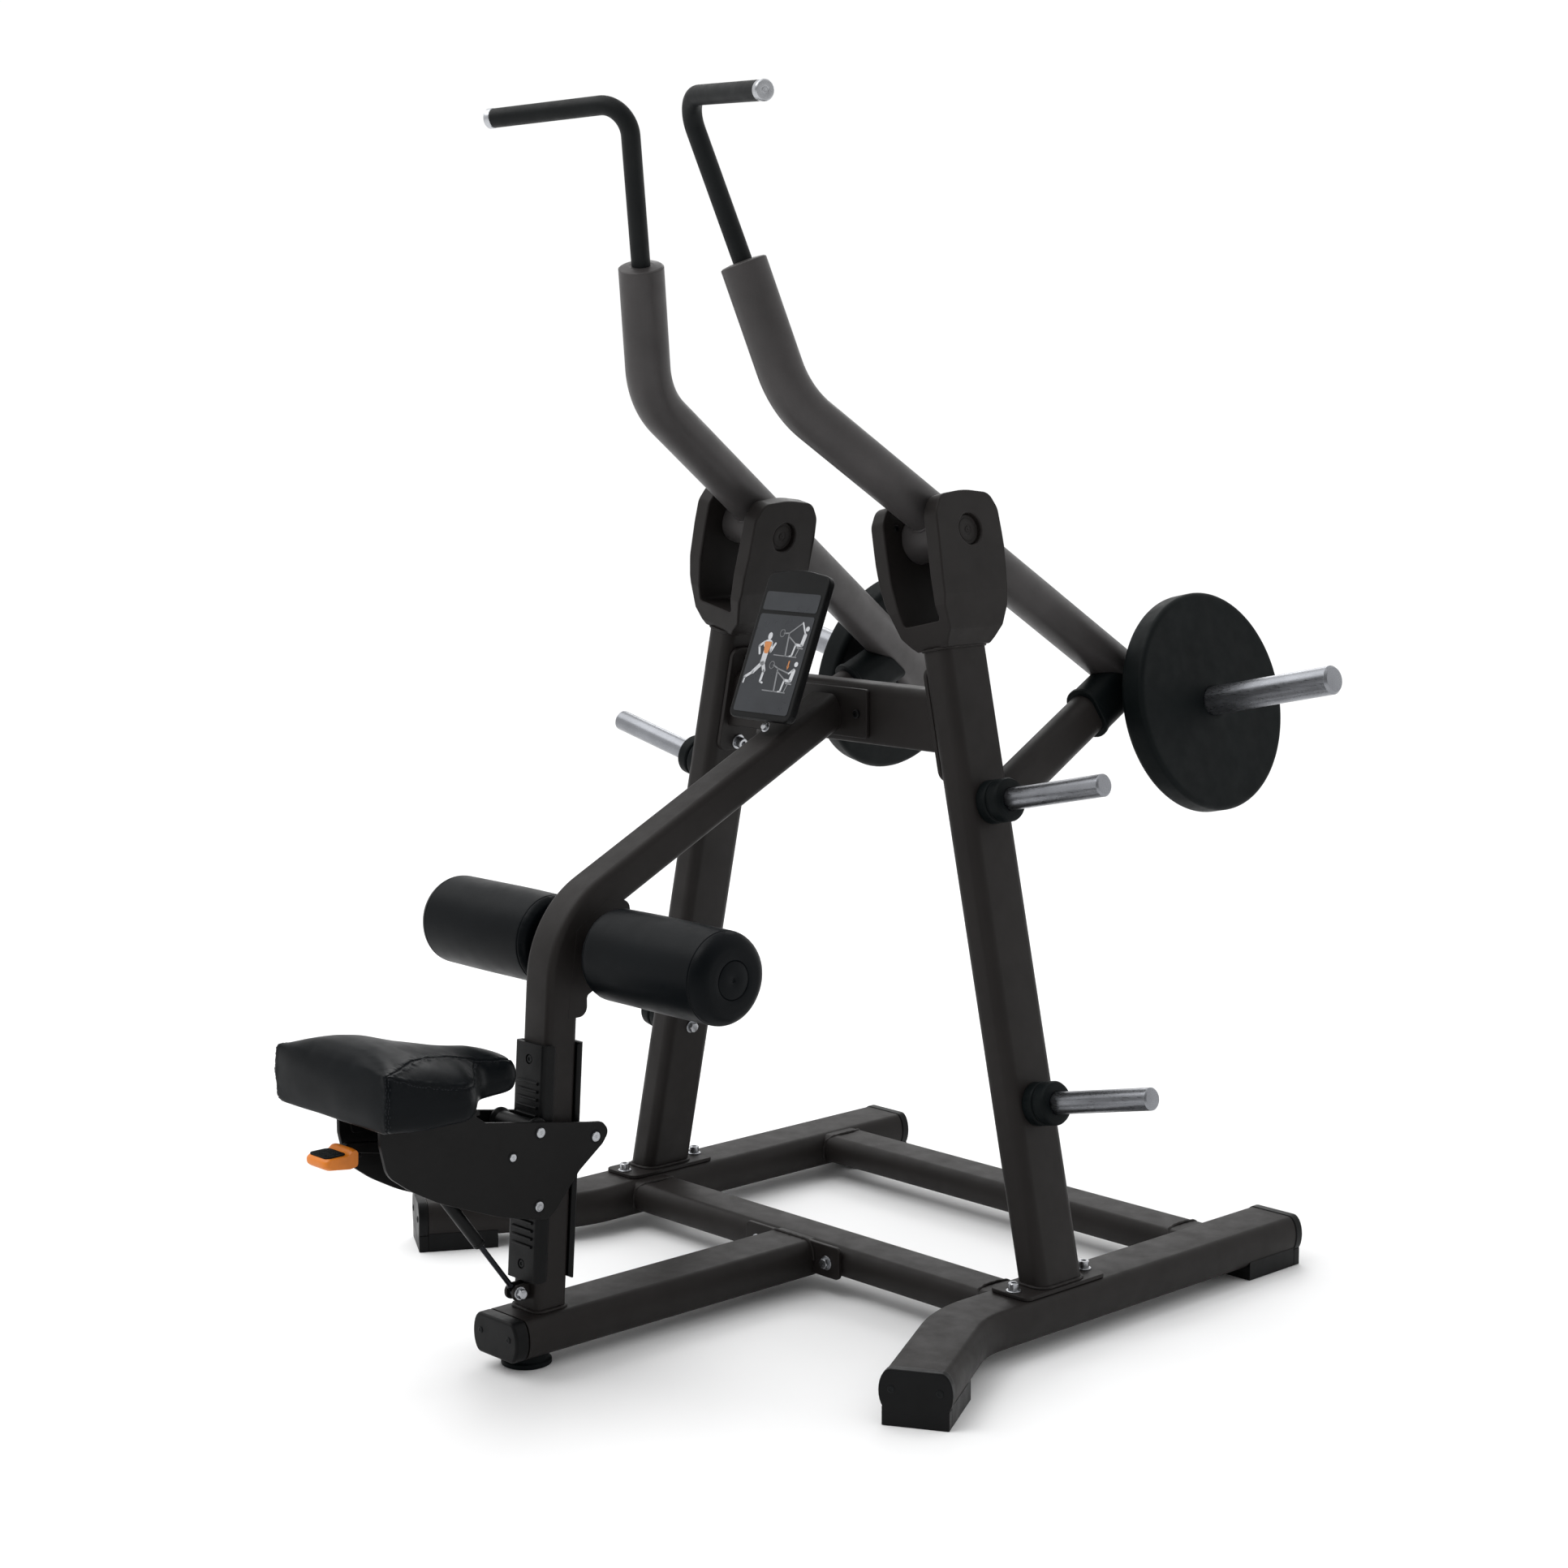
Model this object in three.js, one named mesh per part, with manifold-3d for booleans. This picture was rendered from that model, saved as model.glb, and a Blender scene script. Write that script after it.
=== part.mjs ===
// Plate-loaded pulldown machine with two independent lever arms, in millimetres, +Z up.
// +X is the machine's right, +Y runs from the seat towards the weight horns.
import * as THREE from 'three';
import { mergeVertices } from 'three/addons/utils/BufferGeometryUtils.js';
import Module from 'manifold-3d';

const wasm = await Module();
wasm.setup();

// ---------------------------------------------------------------- driving dimensions
const GAP = 0.3; // clearance kept between touching pieces

const TILT = THREE.MathUtils.degToRad(12.54); // inward lean of each upright
const PLANE_FOOT_X = 513.6; // where the leaning side plane meets the floor
const up = (z) => z / Math.cos(TILT); // height above the floor to distance up the plane

const RAIL = { x: 490, rear: 598, width: 114, height: 66, flat: 78, bottom: 22 };
const RAIL_TOP = RAIL.bottom + RAIL.height;
const FLARE = { angle: THREE.MathUtils.degToRad(30), cornerY: -215, radius: 200, length: 272 };
const CAP = { thickness: 18, footLength: 144, footHalf: 53, footTop: 31, grow: 1.5 };
const CROSS = { width: 100, height: 54, middle: 58.5 };
const CROSS_FRONT_Y = -64;
const CROSS_REAR_Y = 428;
const CENTRE_RAIL = { front: -746, capThickness: 28, footRadius: 37, footY: -710 };

const UPRIGHT = { width: 107, thickness: 60, corner: 19 };
const BASE_PLATE = { width: 84, front: -102, rear: 98, thickness: 7, corner: 14 };

const PIVOT_Z = 1308.7;
const PIVOT_UP = up(PIVOT_Z);
const YOKE = { half: 77, cheekInner: 47, bottom: -187, shoulder: -152, floor: -143 };
const PIN = { radius: 15, coverRadius: 25, coverFace: 69.5, coverThickness: 3.2 };
const BUSH = { radius: 19, half: 45.5 };

const ARM = {
  radius: 38, hubRadius: 39, hubHalf: 45.5, bendRadius: 150,
  elbow: [-286.8, 231], top: [-344.8, 450.8], horn: [516.3, -330.7], tail: 42,
};
const ARM_SIDES = 16; // facets round the arm's tube and everything fitted to it
const HANDLE = {
  core: 12.5, sleeve: 15.8, bendRadius: 46, corner: [-418.8, 714.8],
  gripDirection: [0.929, -0.269, -0.2585], gripLength: 266, capLength: 12,
};
const HORN = { radius: 25, tip: 371, bossRadius: 44 };
const DISC = { radius: 192.5, inner: 59.6, outer: 109.6, round: 15 };

const STORAGE = { heights: { upper: 870.5, lower: 380.3 }, radius: 18.5, tip: 280 };
const COLLAR = { radius: 36.5, outer: 76 };

const STOP = { rise: THREE.MathUtils.degToRad(26.5), anchor: -474, width: 50, depth: 75 };
const BOOT = { start: 305, width: 62, depth: 90, armInside: 385 };

const BEAM = { bottom: 952, top: 1055, depth: 60, plate: 8 };
const END_PLATE = { bottom: 914, top: 1102, half: 44, thickness: 8 };
const MOUNT_PLATE = { half: 97, bottom: 962, top: 1046, thickness: 8 };

const POST = {
  width: 68, depth: 62, edge: 12, bendRadius: 150,
  foot: [-682.5, RAIL_TOP], corner: [-642.5, 708.7], head: [-38.3, 1006.8],
};
const LEAN = Math.atan2(POST.corner[0] - POST.foot[0], POST.corner[1] - POST.foot[1]);
const GUIDE = { bottom: 137, top: 521, proud: 10, frontWrap: 18, rearWrap: 3, side: 3 };

const ROLLER = { y: -580, z: 663, radius: 75, inner: 69, outer: 356, axle: 14 };
const GUSSET = {
  inner: 24, outer: 34, heel: -645, toe: -604, rear: -513, bottom: 559, top: 735,
  waist: 592, elbow: [-535, 625], crown: [[-560, 745], [-625, 700]],
};

const CARRIAGE = { plateInner: 50, plateOuter: 58 };
const GUIDE_ROLLER = { half: 49.5, stub: 6, track: 37, small: 14, large: 17 };
const ROLLER_Z = { rear: 366, lower: 274, upper: 393 };
const PAD = { rear: -1078, halfRear: 150, halfNose: 62, tip: -745, bottom: 460 };
const LEVER = { pivot: [-777, 363], bar: [-32, -22], tip: -1098 };
const GAS = {
  eye: [-731, 122], top: [-905, 352], radius: 10, rod: 4.5, pin: 4, mouth: 0.40, rodTip: 0.677,
};

const PLACARD = { width: 151, height: 264, depth: 16, y: -136, z: 1117, tilt: 22.5, corner: 14 };

// ---------------------------------------------------------------- materials
const finish = (color, roughness, metalness) => () =>
  new THREE.MeshStandardMaterial({ color, roughness, metalness });
const framePaint = finish(0x262322, 0.62, 0.25);
const armPaint = finish(0x4b4848, 0.48, 0.45);
const blackPlastic = finish(0x17181a, 0.55, 0);
const blackRubber = finish(0x1c2122, 0.8, 0);
const vinyl = finish(0x191c20, 0.45, 0);
const steel = finish(0x8c9098, 0.28, 1);
const zinc = finish(0xa5a8ad, 0.35, 1);
const orangePlastic = finish(0xd0761c, 0.42, 0);
const placardBlack = finish(0x24272b, 0.4, 0);

// ---------------------------------------------------------------- geometry helpers
const X_AXIS = new THREE.Vector3(1, 0, 0);
const at = (x, y, z) => new THREE.Matrix4().makeTranslation(x, y, z);
const turnX = (angle) => new THREE.Matrix4().makeRotationX(angle);
const turnY = (angle) => new THREE.Matrix4().makeRotationY(angle);
const alongX = () => turnY(Math.PI / 2); // carries a Z-built shape onto +X

function moved(geometry, ...matrices) {
  const copy = geometry.clone();
  matrices.forEach((matrix) => copy.applyMatrix4(matrix));
  return copy;
}

function toSolid(geometry) {
  const bare = geometry.clone();
  ['normal', 'uv'].forEach((name) => bare.deleteAttribute(name));
  const merged = mergeVertices(bare, 1e-3);
  return new wasm.Manifold(new wasm.Mesh({
    numProp: 3,
    vertProperties: new Float32Array(merged.attributes.position.array),
    triVerts: new Uint32Array(merged.index.array),
  }));
}

function toGeometry(solid) {
  const mesh = solid.getMesh();
  const geometry = new THREE.BufferGeometry();
  geometry.setAttribute('position', new THREE.BufferAttribute(mesh.vertProperties, 3));
  geometry.setIndex(new THREE.BufferAttribute(mesh.triVerts, 1));
  geometry.computeVertexNormals();
  return geometry;
}

const join = (...shapes) => toGeometry(shapes.map(toSolid).reduce((a, b) => a.add(b)));
const cut = (shape, ...tools) =>
  toGeometry(tools.map(toSolid).reduce((a, b) => a.subtract(b), toSolid(shape)));

// Mirror image in the plane X = 0, with the faces still pointing out.
function mirrored(geometry) {
  const copy = geometry.index ? geometry.toNonIndexed() : geometry.clone();
  copy.scale(-1, 1, 1);
  const points = copy.attributes.position;
  for (let i = 0; i < points.count; i += 3) {
    const first = new THREE.Vector3().fromBufferAttribute(points, i);
    const last = new THREE.Vector3().fromBufferAttribute(points, i + 2);
    points.setXYZ(i, last.x, last.y, last.z);
    points.setXYZ(i + 2, first.x, first.y, first.z);
  }
  copy.computeVertexNormals();
  return copy;
}
const handed = (geometry, side) => (side > 0 ? geometry : mirrored(geometry));

// Flat oval: straight sides over `flat`, half-ellipse ends out to `length`, along local Y.
function ovalShape(thickness, length, flat) {
  const shape = new THREE.Shape();
  const [a, b, f] = [thickness / 2, length / 2, flat / 2];
  shape.absellipse(0, -f, a, b - f, Math.PI, 2 * Math.PI, false, 0);
  shape.absellipse(0, f, a, b - f, 0, Math.PI, false, 0);
  shape.closePath();
  return shape;
}

function roundedRectangle(x0, y0, x1, y1, radius) {
  const shape = new THREE.Shape();
  shape.absarc(x1 - radius, y0 + radius, radius, -Math.PI / 2, 0, false);
  shape.absarc(x1 - radius, y1 - radius, radius, 0, Math.PI / 2, false);
  shape.absarc(x0 + radius, y1 - radius, radius, Math.PI / 2, Math.PI, false);
  shape.absarc(x0 + radius, y0 + radius, radius, Math.PI, 1.5 * Math.PI, false);
  shape.closePath();
  return shape;
}

const circleShape = (radius) => new THREE.Shape().absarc(0, 0, radius, 0, 2 * Math.PI, false);

const extrude = (shape, depth, curveSegments = 4) =>
  new THREE.ExtrudeGeometry(shape, { depth, curveSegments, bevelEnabled: false });

// A plate lying in the YZ plane between x0 and x1, from a shape drawn in (y, z).
const plateX = (shape, x0, x1, curveSegments = 4) =>
  moved(extrude(shape, x1 - x0, curveSegments),
    new THREE.Matrix4().makeBasis(
      new THREE.Vector3(0, 1, 0), new THREE.Vector3(0, 0, 1), new THREE.Vector3(1, 0, 0)),
    at(x0, 0, 0));

const box = (x0, y0, z0, x1, y1, z1) =>
  moved(new THREE.BoxGeometry(x1 - x0, y1 - y0, z1 - z0),
    at((x0 + x1) / 2, (y0 + y1) / 2, (z0 + z1) / 2));

// Solid of revolution about X from [radius, x] pairs, which start and end on the axis
// or come back to their first point.
const latheX = (profile, segments = 24) =>
  moved(new THREE.LatheGeometry(profile.map(([r, x]) => new THREE.Vector2(r, x)), segments),
    new THREE.Matrix4().makeBasis(
      new THREE.Vector3(0, 1, 0), new THREE.Vector3(1, 0, 0), new THREE.Vector3(0, 0, -1)));

const rodX = (radius, x0, x1, segments = 20) =>
  latheX([[0, x0], [radius, x0], [radius, x1], [0, x1]], segments);

const ringX = (inner, outer, x0, x1, segments = 16) =>
  latheX([[inner, x0], [outer, x0], [outer, x1], [inner, x1], [inner, x0]], segments);

// A route of straight runs with rounded corners, stepped only where it bends.
class BentPath extends THREE.Curve {
  constructor(points, radii, steps = 6) {
    super();
    this.knots = [points[0].clone()];
    this.headings = [];
    points.slice(1, -1).forEach((corner, i) => {
      const before = corner.clone().sub(points[i]).normalize();
      const after = points[i + 2].clone().sub(corner).normalize();
      const turn = before.angleTo(after);
      const reach = radii[i] * Math.tan(turn / 2);
      const start = corner.clone().addScaledVector(before, -reach);
      const inward = after.clone().addScaledVector(before, -Math.cos(turn)).normalize();
      const centre = start.clone().addScaledVector(inward, radii[i]);
      for (let k = 0; k <= steps; k += 1) {
        const angle = (turn * k) / steps;
        this.knots.push(centre.clone()
          .addScaledVector(inward, -radii[i] * Math.cos(angle))
          .addScaledVector(before, radii[i] * Math.sin(angle)));
        this.headings.push(before.clone().multiplyScalar(Math.cos(angle))
          .addScaledVector(inward, Math.sin(angle)));
      }
    });
    this.knots.push(points.at(-1).clone());
    this.headings.unshift(this.knots[1].clone().sub(this.knots[0]).normalize());
    this.headings.push(this.knots.at(-1).clone().sub(this.knots.at(-2)).normalize());
  }

  get steps() { return this.knots.length - 1; }
  getPoint(t) { return this.knots[Math.round(t * this.steps)].clone(); }
  getPointAt(t) { return this.getPoint(t); }
  getTangentAt(t) { return this.headings[Math.round(t * this.steps)].clone(); }
}

const sweep = (shape, path, curveSegments = 4) =>
  new THREE.ExtrudeGeometry(shape, { steps: path.steps, extrudePath: path, curveSegments });

const vec = (x, y, z) => new THREE.Vector3(x, y, z);

function mesh(name, geometry, material) {
  const piece = new THREE.Mesh(geometry, material());
  piece.name = name;
  return piece;
}

const SIDES = [['right', 1], ['left', -1]];

// ---------------------------------------------------------------- base frame
const railSection = () => ovalShape(RAIL.height, RAIL.width, RAIL.flat);
const flareDirection = vec(Math.sin(FLARE.angle), -Math.cos(FLARE.angle), 0);
const railMid = RAIL.bottom + RAIL.height / 2;
const railCorner = vec(RAIL.x, FLARE.cornerY, railMid);
const railFront = railCorner.clone().addScaledVector(flareDirection, FLARE.length);

const railPath = () => new BentPath(
  [vec(RAIL.x, RAIL.rear, railMid), railCorner, railFront], [FLARE.radius], 5);

const railTube = () => sweep(railSection(), railPath());

// Straight horizontal tube of the rail section, from y0 to y1 at x, grown by `grow`.
function straightRail(x, y0, y1, grow = 0) {
  const shape = ovalShape(RAIL.height + 2 * grow, RAIL.width + 2 * grow, RAIL.flat);
  return sweep(shape, new BentPath([vec(x, y0, railMid), vec(x, y1, railMid)], []));
}

function crossTube(y, halfLength, grow = 0) {
  const shape = ovalShape(CROSS.height + 2 * grow, CROSS.width + 2 * grow, RAIL.flat - 14);
  return sweep(shape,
    new BentPath([vec(-halfLength, y, CROSS.middle), vec(halfLength, y, CROSS.middle)], []));
}

// End cap and foot in one moulding, the foot cradling a tube that ends at the origin heading +Y.
function footCap() {
  const plug = straightRail(0, GAP, CAP.thickness, CAP.grow);
  const block = box(-CAP.footHalf, CAP.thickness - CAP.footLength, 0,
    CAP.footHalf, CAP.thickness, CAP.footTop);
  const tube = straightRail(0, -2 * CAP.footLength, GAP, GAP);
  return join(plug, cut(block, tube));
}

function baseFrame() {
  const group = new THREE.Group();
  const railCutter = straightRail(RAIL.x, -400, RAIL.rear, GAP);
  const cutters = [railCutter, mirrored(railCutter)];
  const reach = RAIL.x - RAIL.flat / 2;
  const frontCross = crossTube(CROSS_FRONT_Y, reach);
  group.add(mesh('cross_front', cut(frontCross, ...cutters), framePaint));
  group.add(mesh('cross_rear', cut(crossTube(CROSS_REAR_Y, reach), ...cutters), framePaint));

  SIDES.forEach(([name, side]) => {
    group.add(mesh(`rail_${name}`, handed(railTube(), side), framePaint));
    const ends = {
      front: { place: railFront, angle: Math.PI + FLARE.angle },
      rear: { place: vec(RAIL.x, RAIL.rear, railMid), angle: 0 },
    };
    Object.entries(ends).forEach(([end, { place, angle }]) => {
      const cap = mesh(`foot_${end}_${name}`, footCap(), blackPlastic);
      cap.position.set(side * place.x, place.y, 0);
      cap.rotation.z = side * angle;
      group.add(cap);
    });
  });
  addCentreRail(group);
  return group;
}

// The rail under the seat, with a bolting plate where it meets the front cross tube.
function addCentreRail(group) {
  const meet = CROSS_FRONT_Y - RAIL.flat / 2 + 7;
  const crossCutter = crossTube(CROSS_FRONT_Y, 300, GAP);
  const tube = straightRail(0, CENTRE_RAIL.front, meet);
  const plate = box(-118, meet - 26, RAIL.bottom + 9, 118, meet - 18, RAIL_TOP);
  group.add(mesh('centre_rail', cut(join(tube, plate), crossCutter), framePaint));

  const face = CENTRE_RAIL.front - CENTRE_RAIL.capThickness;
  group.add(mesh('centre_cap', straightRail(0, face, CENTRE_RAIL.front - GAP), blackPlastic));
  const foot = new THREE.CylinderGeometry(
    CENTRE_RAIL.footRadius, CENTRE_RAIL.footRadius + 4, RAIL.bottom - GAP, 24);
  const footMesh = mesh('centre_foot', foot, blackRubber);
  footMesh.rotation.x = Math.PI / 2;
  footMesh.position.set(0, CENTRE_RAIL.footY, (RAIL.bottom - GAP) / 2);
  group.add(footMesh);
}

// ---------------------------------------------------------------- uprights and yokes
// Side pieces are drawn in the leaning plane's own frame: X outward, Y rearward and Z up
// the plane from the floor.
function sideFrame(side) {
  const frame = new THREE.Group();
  frame.position.x = side * PLANE_FOOT_X;
  frame.rotation.y = -side * TILT;
  return frame;
}

function uprightTube(grow = 0) {
  const [t, w] = [UPRIGHT.thickness / 2 + grow, UPRIGHT.width / 2 + grow];
  return extrude(roundedRectangle(-t, -w, t, w, UPRIGHT.corner), PIVOT_UP + YOKE.bottom - GAP, 3);
}

function upright() {
  const floorTurn = turnY(TILT); // level pieces, seen from the leaning frame
  const level = (geometry) => moved(geometry, at(-PLANE_FOOT_X, 0, 0), floorTurn);
  const below = level(box(300, -200, -200, 700, 200, RAIL_TOP + GAP));
  const plate = moved(
    extrude(roundedRectangle(RAIL.x - BASE_PLATE.width / 2, BASE_PLATE.front,
      RAIL.x + BASE_PLATE.width / 2, BASE_PLATE.rear, BASE_PLATE.corner),
    BASE_PLATE.thickness - GAP),
    at(0, 0, RAIL_TOP + GAP));
  return join(cut(uprightTube(), below), level(plate));
}

// Clevis cast round the arm pivot: two cheeks on a tapered foot, drawn about the pivot.
function yoke() {
  const outline = new THREE.Shape();
  outline.moveTo(-54, YOKE.bottom);
  outline.lineTo(54, YOKE.bottom);
  outline.lineTo(60, YOKE.shoulder);
  outline.lineTo(74, -105);
  outline.lineTo(79, -60);
  outline.lineTo(78, -10);
  outline.lineTo(73, 34);
  outline.quadraticCurveTo(71, 48, 58, 51);
  outline.quadraticCurveTo(30, 61, 0, 61);
  outline.quadraticCurveTo(-30, 61, -58, 51);
  outline.quadraticCurveTo(-71, 48, -73, 34);
  outline.lineTo(-78, -10);
  outline.lineTo(-79, -60);
  outline.lineTo(-74, -105);
  outline.lineTo(-60, YOKE.shoulder);
  outline.closePath();
  const block = plateX(outline, -YOKE.half, YOKE.half, 3);
  const slot = box(-YOKE.cheekInner, -120, YOKE.floor, YOKE.cheekInner, 120, 120);
  const wedge = new THREE.Shape([
    new THREE.Vector2(34, YOKE.bottom - 1), new THREE.Vector2(90, YOKE.bottom - 1),
    new THREE.Vector2(90, -96), new THREE.Vector2(YOKE.half, -96),
    new THREE.Vector2(69, YOKE.shoulder), new THREE.Vector2(34, YOKE.bottom),
  ]);
  const shave = moved(extrude(wedge, 240), turnX(Math.PI / 2), at(0, 120, 0));
  const bore = rodX(PIN.radius + GAP, -90, 90, 16);
  const recess = PIN.coverFace - PIN.coverThickness - GAP;
  const pocket = rodX(PIN.coverRadius + 1, recess, 90, 16);
  return cut(block, slot, shave, mirrored(shave), bore, pocket, mirrored(pocket));
}

function pivotPin() {
  const [face, back] = [PIN.coverFace, PIN.coverFace - PIN.coverThickness];
  return latheX([
    [0, -face], [PIN.coverRadius, -face], [PIN.coverRadius, -back], [PIN.radius, -back],
    [PIN.radius, back], [PIN.coverRadius, back], [PIN.coverRadius, face], [0, face],
  ], 16);
}

// The stop arm's route in the side plane: it rises rearward from the upright.
const stopPoint = (y) => vec(0, y, PIVOT_UP + STOP.anchor + y * Math.tan(STOP.rise));
const stopBar = (y0, y1, width, depth, flat) =>
  sweep(ovalShape(width, depth, flat), new BentPath([stopPoint(y0), stopPoint(y1)], []), 3);

// The straight part of the arm's tube, grown by `grow`, for fitting pieces against it.
const armTubeGhost = (grow) => moved(
  sweep(circleShape(ARM.radius + grow),
    new BentPath([armPoint(ARM.horn), armPoint(ARM.elbow)], []), ARM_SIDES / 2),
  at(0, 0, PIVOT_UP));

function stopArm() {
  return cut(stopBar(20, BOOT.armInside - 28, STOP.width, STOP.depth, 30), uprightTube(GAP));
}

function stopBoot() {
  const outer = stopBar(BOOT.start, 440, BOOT.width, BOOT.depth, 34);
  const socket = stopBar(BOOT.start - 20, BOOT.armInside - 27, STOP.width + 1, STOP.depth + 1, 30);
  const slope = Math.atan2(ARM.elbow[1] - ARM.horn[1], ARM.elbow[0] - ARM.horn[0]);
  const above = moved(box(-100, -400, 0, 100, 400, 300),
    turnX(slope + Math.PI), at(0, ...pointBelowArm(16)));
  return cut(outer, socket, armTubeGhost(0.5), above);
}

// A point on the arm's axis over the boot, dropped square to the arm by `drop`.
function pointBelowArm(drop) {
  const run = vec(0, ARM.elbow[0] - ARM.horn[0], ARM.elbow[1] - ARM.horn[1]).normalize();
  const reach = ARM.horn[0] - BOOT.armInside;
  const y = ARM.horn[0] - reach - drop * run.z;
  const z = ARM.horn[1] - (reach * run.z) / run.y + drop * run.y;
  return [y, PIVOT_UP + z];
}

function storageHorn() {
  const root = UPRIGHT.thickness / 2 + GAP;
  const chamfer = 2.5;
  return latheX([[0, root], [STORAGE.radius, root], [STORAGE.radius, STORAGE.tip - chamfer],
    [STORAGE.radius - chamfer, STORAGE.tip], [0, STORAGE.tip]], 20);
}

function storageCollar() {
  const root = UPRIGHT.thickness / 2 + GAP;
  const bore = STORAGE.radius + GAP;
  const r = COLLAR.radius;
  return latheX([[bore, root], [r, root], [r, 48], [r - 5, 51], [r - 2, 54],
    [r - 9, COLLAR.outer], [bore, COLLAR.outer], [bore, root]], 18);
}

function sideStructure(name, side) {
  const frame = sideFrame(side);
  frame.add(mesh(`upright_${name}`, handed(upright(), side), framePaint));
  const head = mesh(`yoke_${name}`, handed(yoke(), side), framePaint);
  const pin = mesh(`pivot_pin_${name}`, pivotPin(), blackPlastic);
  [head, pin].forEach((piece) => {
    piece.position.z = PIVOT_UP;
    frame.add(piece);
  });
  frame.add(mesh(`stop_arm_${name}`, handed(stopArm(), side), framePaint));
  frame.add(mesh(`stop_bumper_${name}`, handed(stopBoot(), side), blackRubber));
  Object.entries(STORAGE.heights).forEach(([level, height]) => {
    const horn = mesh(`storage_horn_${level}_${name}`, handed(storageHorn(), side), steel);
    const collar = mesh(`storage_collar_${level}_${name}`, handed(storageCollar(), side),
      blackRubber);
    [horn, collar].forEach((piece) => {
      piece.position.z = up(height);
      frame.add(piece);
    });
  });
  return frame;
}

// ---------------------------------------------------------------- crossbeam
function crossbeam() {
  const half = BEAM.depth / 2;
  const shape = new THREE.Shape();
  shape.moveTo(-half, BEAM.bottom);
  shape.lineTo(half, BEAM.bottom);
  shape.absarc(half - 16, BEAM.top - 16, 16, 0, Math.PI / 2, false);
  shape.absarc(16 - half, BEAM.top - 16, 16, Math.PI / 2, Math.PI, false);
  shape.closePath();
  const bar = plateX(shape, -330, 330);
  const plates = SIDES.map(([, side]) => {
    const outline = roundedRectangle(-END_PLATE.half, up(END_PLATE.bottom),
      END_PLATE.half, up(END_PLATE.top), 18);
    const inner = -UPRIGHT.thickness / 2 - GAP;
    const plate = handed(plateX(outline, inner - END_PLATE.thickness, inner), side);
    return moved(plate, turnY(-side * TILT), at(side * PLANE_FOOT_X, 0, 0));
  });
  const trims = SIDES.map(([, side]) => {
    const outside = box(-UPRIGHT.thickness / 2 - GAP, -200, 700, 300, 200, 1400);
    return moved(handed(outside, side), turnY(-side * TILT), at(side * PLANE_FOOT_X, 0, 0));
  });
  return cut(join(bar, ...plates), ...trims);
}

// ---------------------------------------------------------------- seat post
function postShape(grow = 0) {
  const [w, d] = [POST.depth / 2 + grow, POST.width / 2 + grow];
  return roundedRectangle(-d, -w, d, w, POST.edge);
}

const postPath = () => new BentPath(
  [vec(0, POST.foot[0] - 2 * Math.tan(LEAN), POST.foot[1] - 2),
    vec(0, ...POST.corner), vec(0, POST.head[0] + 40, POST.head[1] + 19.8)],
  [POST.bendRadius], 7);

// Outline of the plate in the post's bend that carries the roller axle.
function gussetShape() {
  const shape = new THREE.Shape();
  shape.moveTo(GUSSET.heel, GUSSET.bottom);
  shape.absarc(GUSSET.toe - 18, GUSSET.bottom + 18, 18, -Math.PI / 2, 0, false);
  shape.lineTo(GUSSET.toe, GUSSET.waist);
  shape.lineTo(...GUSSET.elbow);
  shape.absarc(GUSSET.rear - 14, GUSSET.top - 20, 14, 0, Math.PI / 2, false);
  GUSSET.crown.forEach((corner) => shape.lineTo(...corner));
  shape.closePath();
  return shape;
}

function seatPost() {
  const tube = sweep(postShape(), postPath(), 2);
  const face = -BEAM.depth / 2 - GAP;
  const plate = box(-MOUNT_PLATE.half, face - MOUNT_PLATE.thickness, MOUNT_PLATE.bottom,
    MOUNT_PLATE.half, face, MOUNT_PLATE.top);
  const gusset = plateX(gussetShape(), GUSSET.inner, GUSSET.outer);
  const lug = plateX(roundedRectangle(GAS.eye[0] - 13, GAS.eye[1] - 13, -690, GAS.eye[1] + 13, 10),
    6, 12, 2);
  const pin = moved(rodX(GAS.pin, -11, 16, 12), at(0, ...GAS.eye));
  const head = moved(rodX(9, 14, 24, 6), at(0, ...GAS.eye));
  const behind = box(-200, face, 700, 200, 200, 1300);
  const under = box(-100, -900, 0, 100, -500, RAIL_TOP + GAP);
  const axleHole = moved(rodX(ROLLER.axle + GAP, -80, 80), at(0, ROLLER.y, ROLLER.z));
  return cut(join(tube, plate, gusset, mirrored(gusset), lug, mirrored(lug), pin, head),
    behind, under, axleHole);
}

const postCentre = (z) => POST.foot[0] + (z - POST.foot[1]) * Math.tan(LEAN);

// Wear strip on the post's front or rear face, turned round the post's edges by its wrap.
function guideStrip(facing) {
  const wrap = facing < 0 ? GUIDE.frontWrap : GUIDE.rearWrap;
  const inner = POST.width / 2 + GAP;
  const outer = inner + GUIDE.side;
  const near = POST.depth / 2 + GAP;
  const shape = new THREE.Shape();
  shape.moveTo(-inner, near - wrap);
  shape.lineTo(-inner, near);
  shape.lineTo(inner, near);
  shape.lineTo(inner, near - wrap);
  shape.lineTo(outer, near - wrap);
  shape.lineTo(outer, near + GUIDE.proud - 5);
  shape.lineTo(outer - 5, near + GUIDE.proud - GAP);
  shape.lineTo(5 - outer, near + GUIDE.proud - GAP);
  shape.lineTo(-outer, near + GUIDE.proud - 5);
  shape.lineTo(-outer, near - wrap);
  shape.closePath();
  const strip = extrude(shape, (GUIDE.top - GUIDE.bottom) / Math.cos(LEAN));
  if (facing < 0) strip.rotateZ(Math.PI);
  return moved(strip, turnX(-LEAN), at(0, postCentre(GUIDE.bottom), GUIDE.bottom));
}

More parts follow.
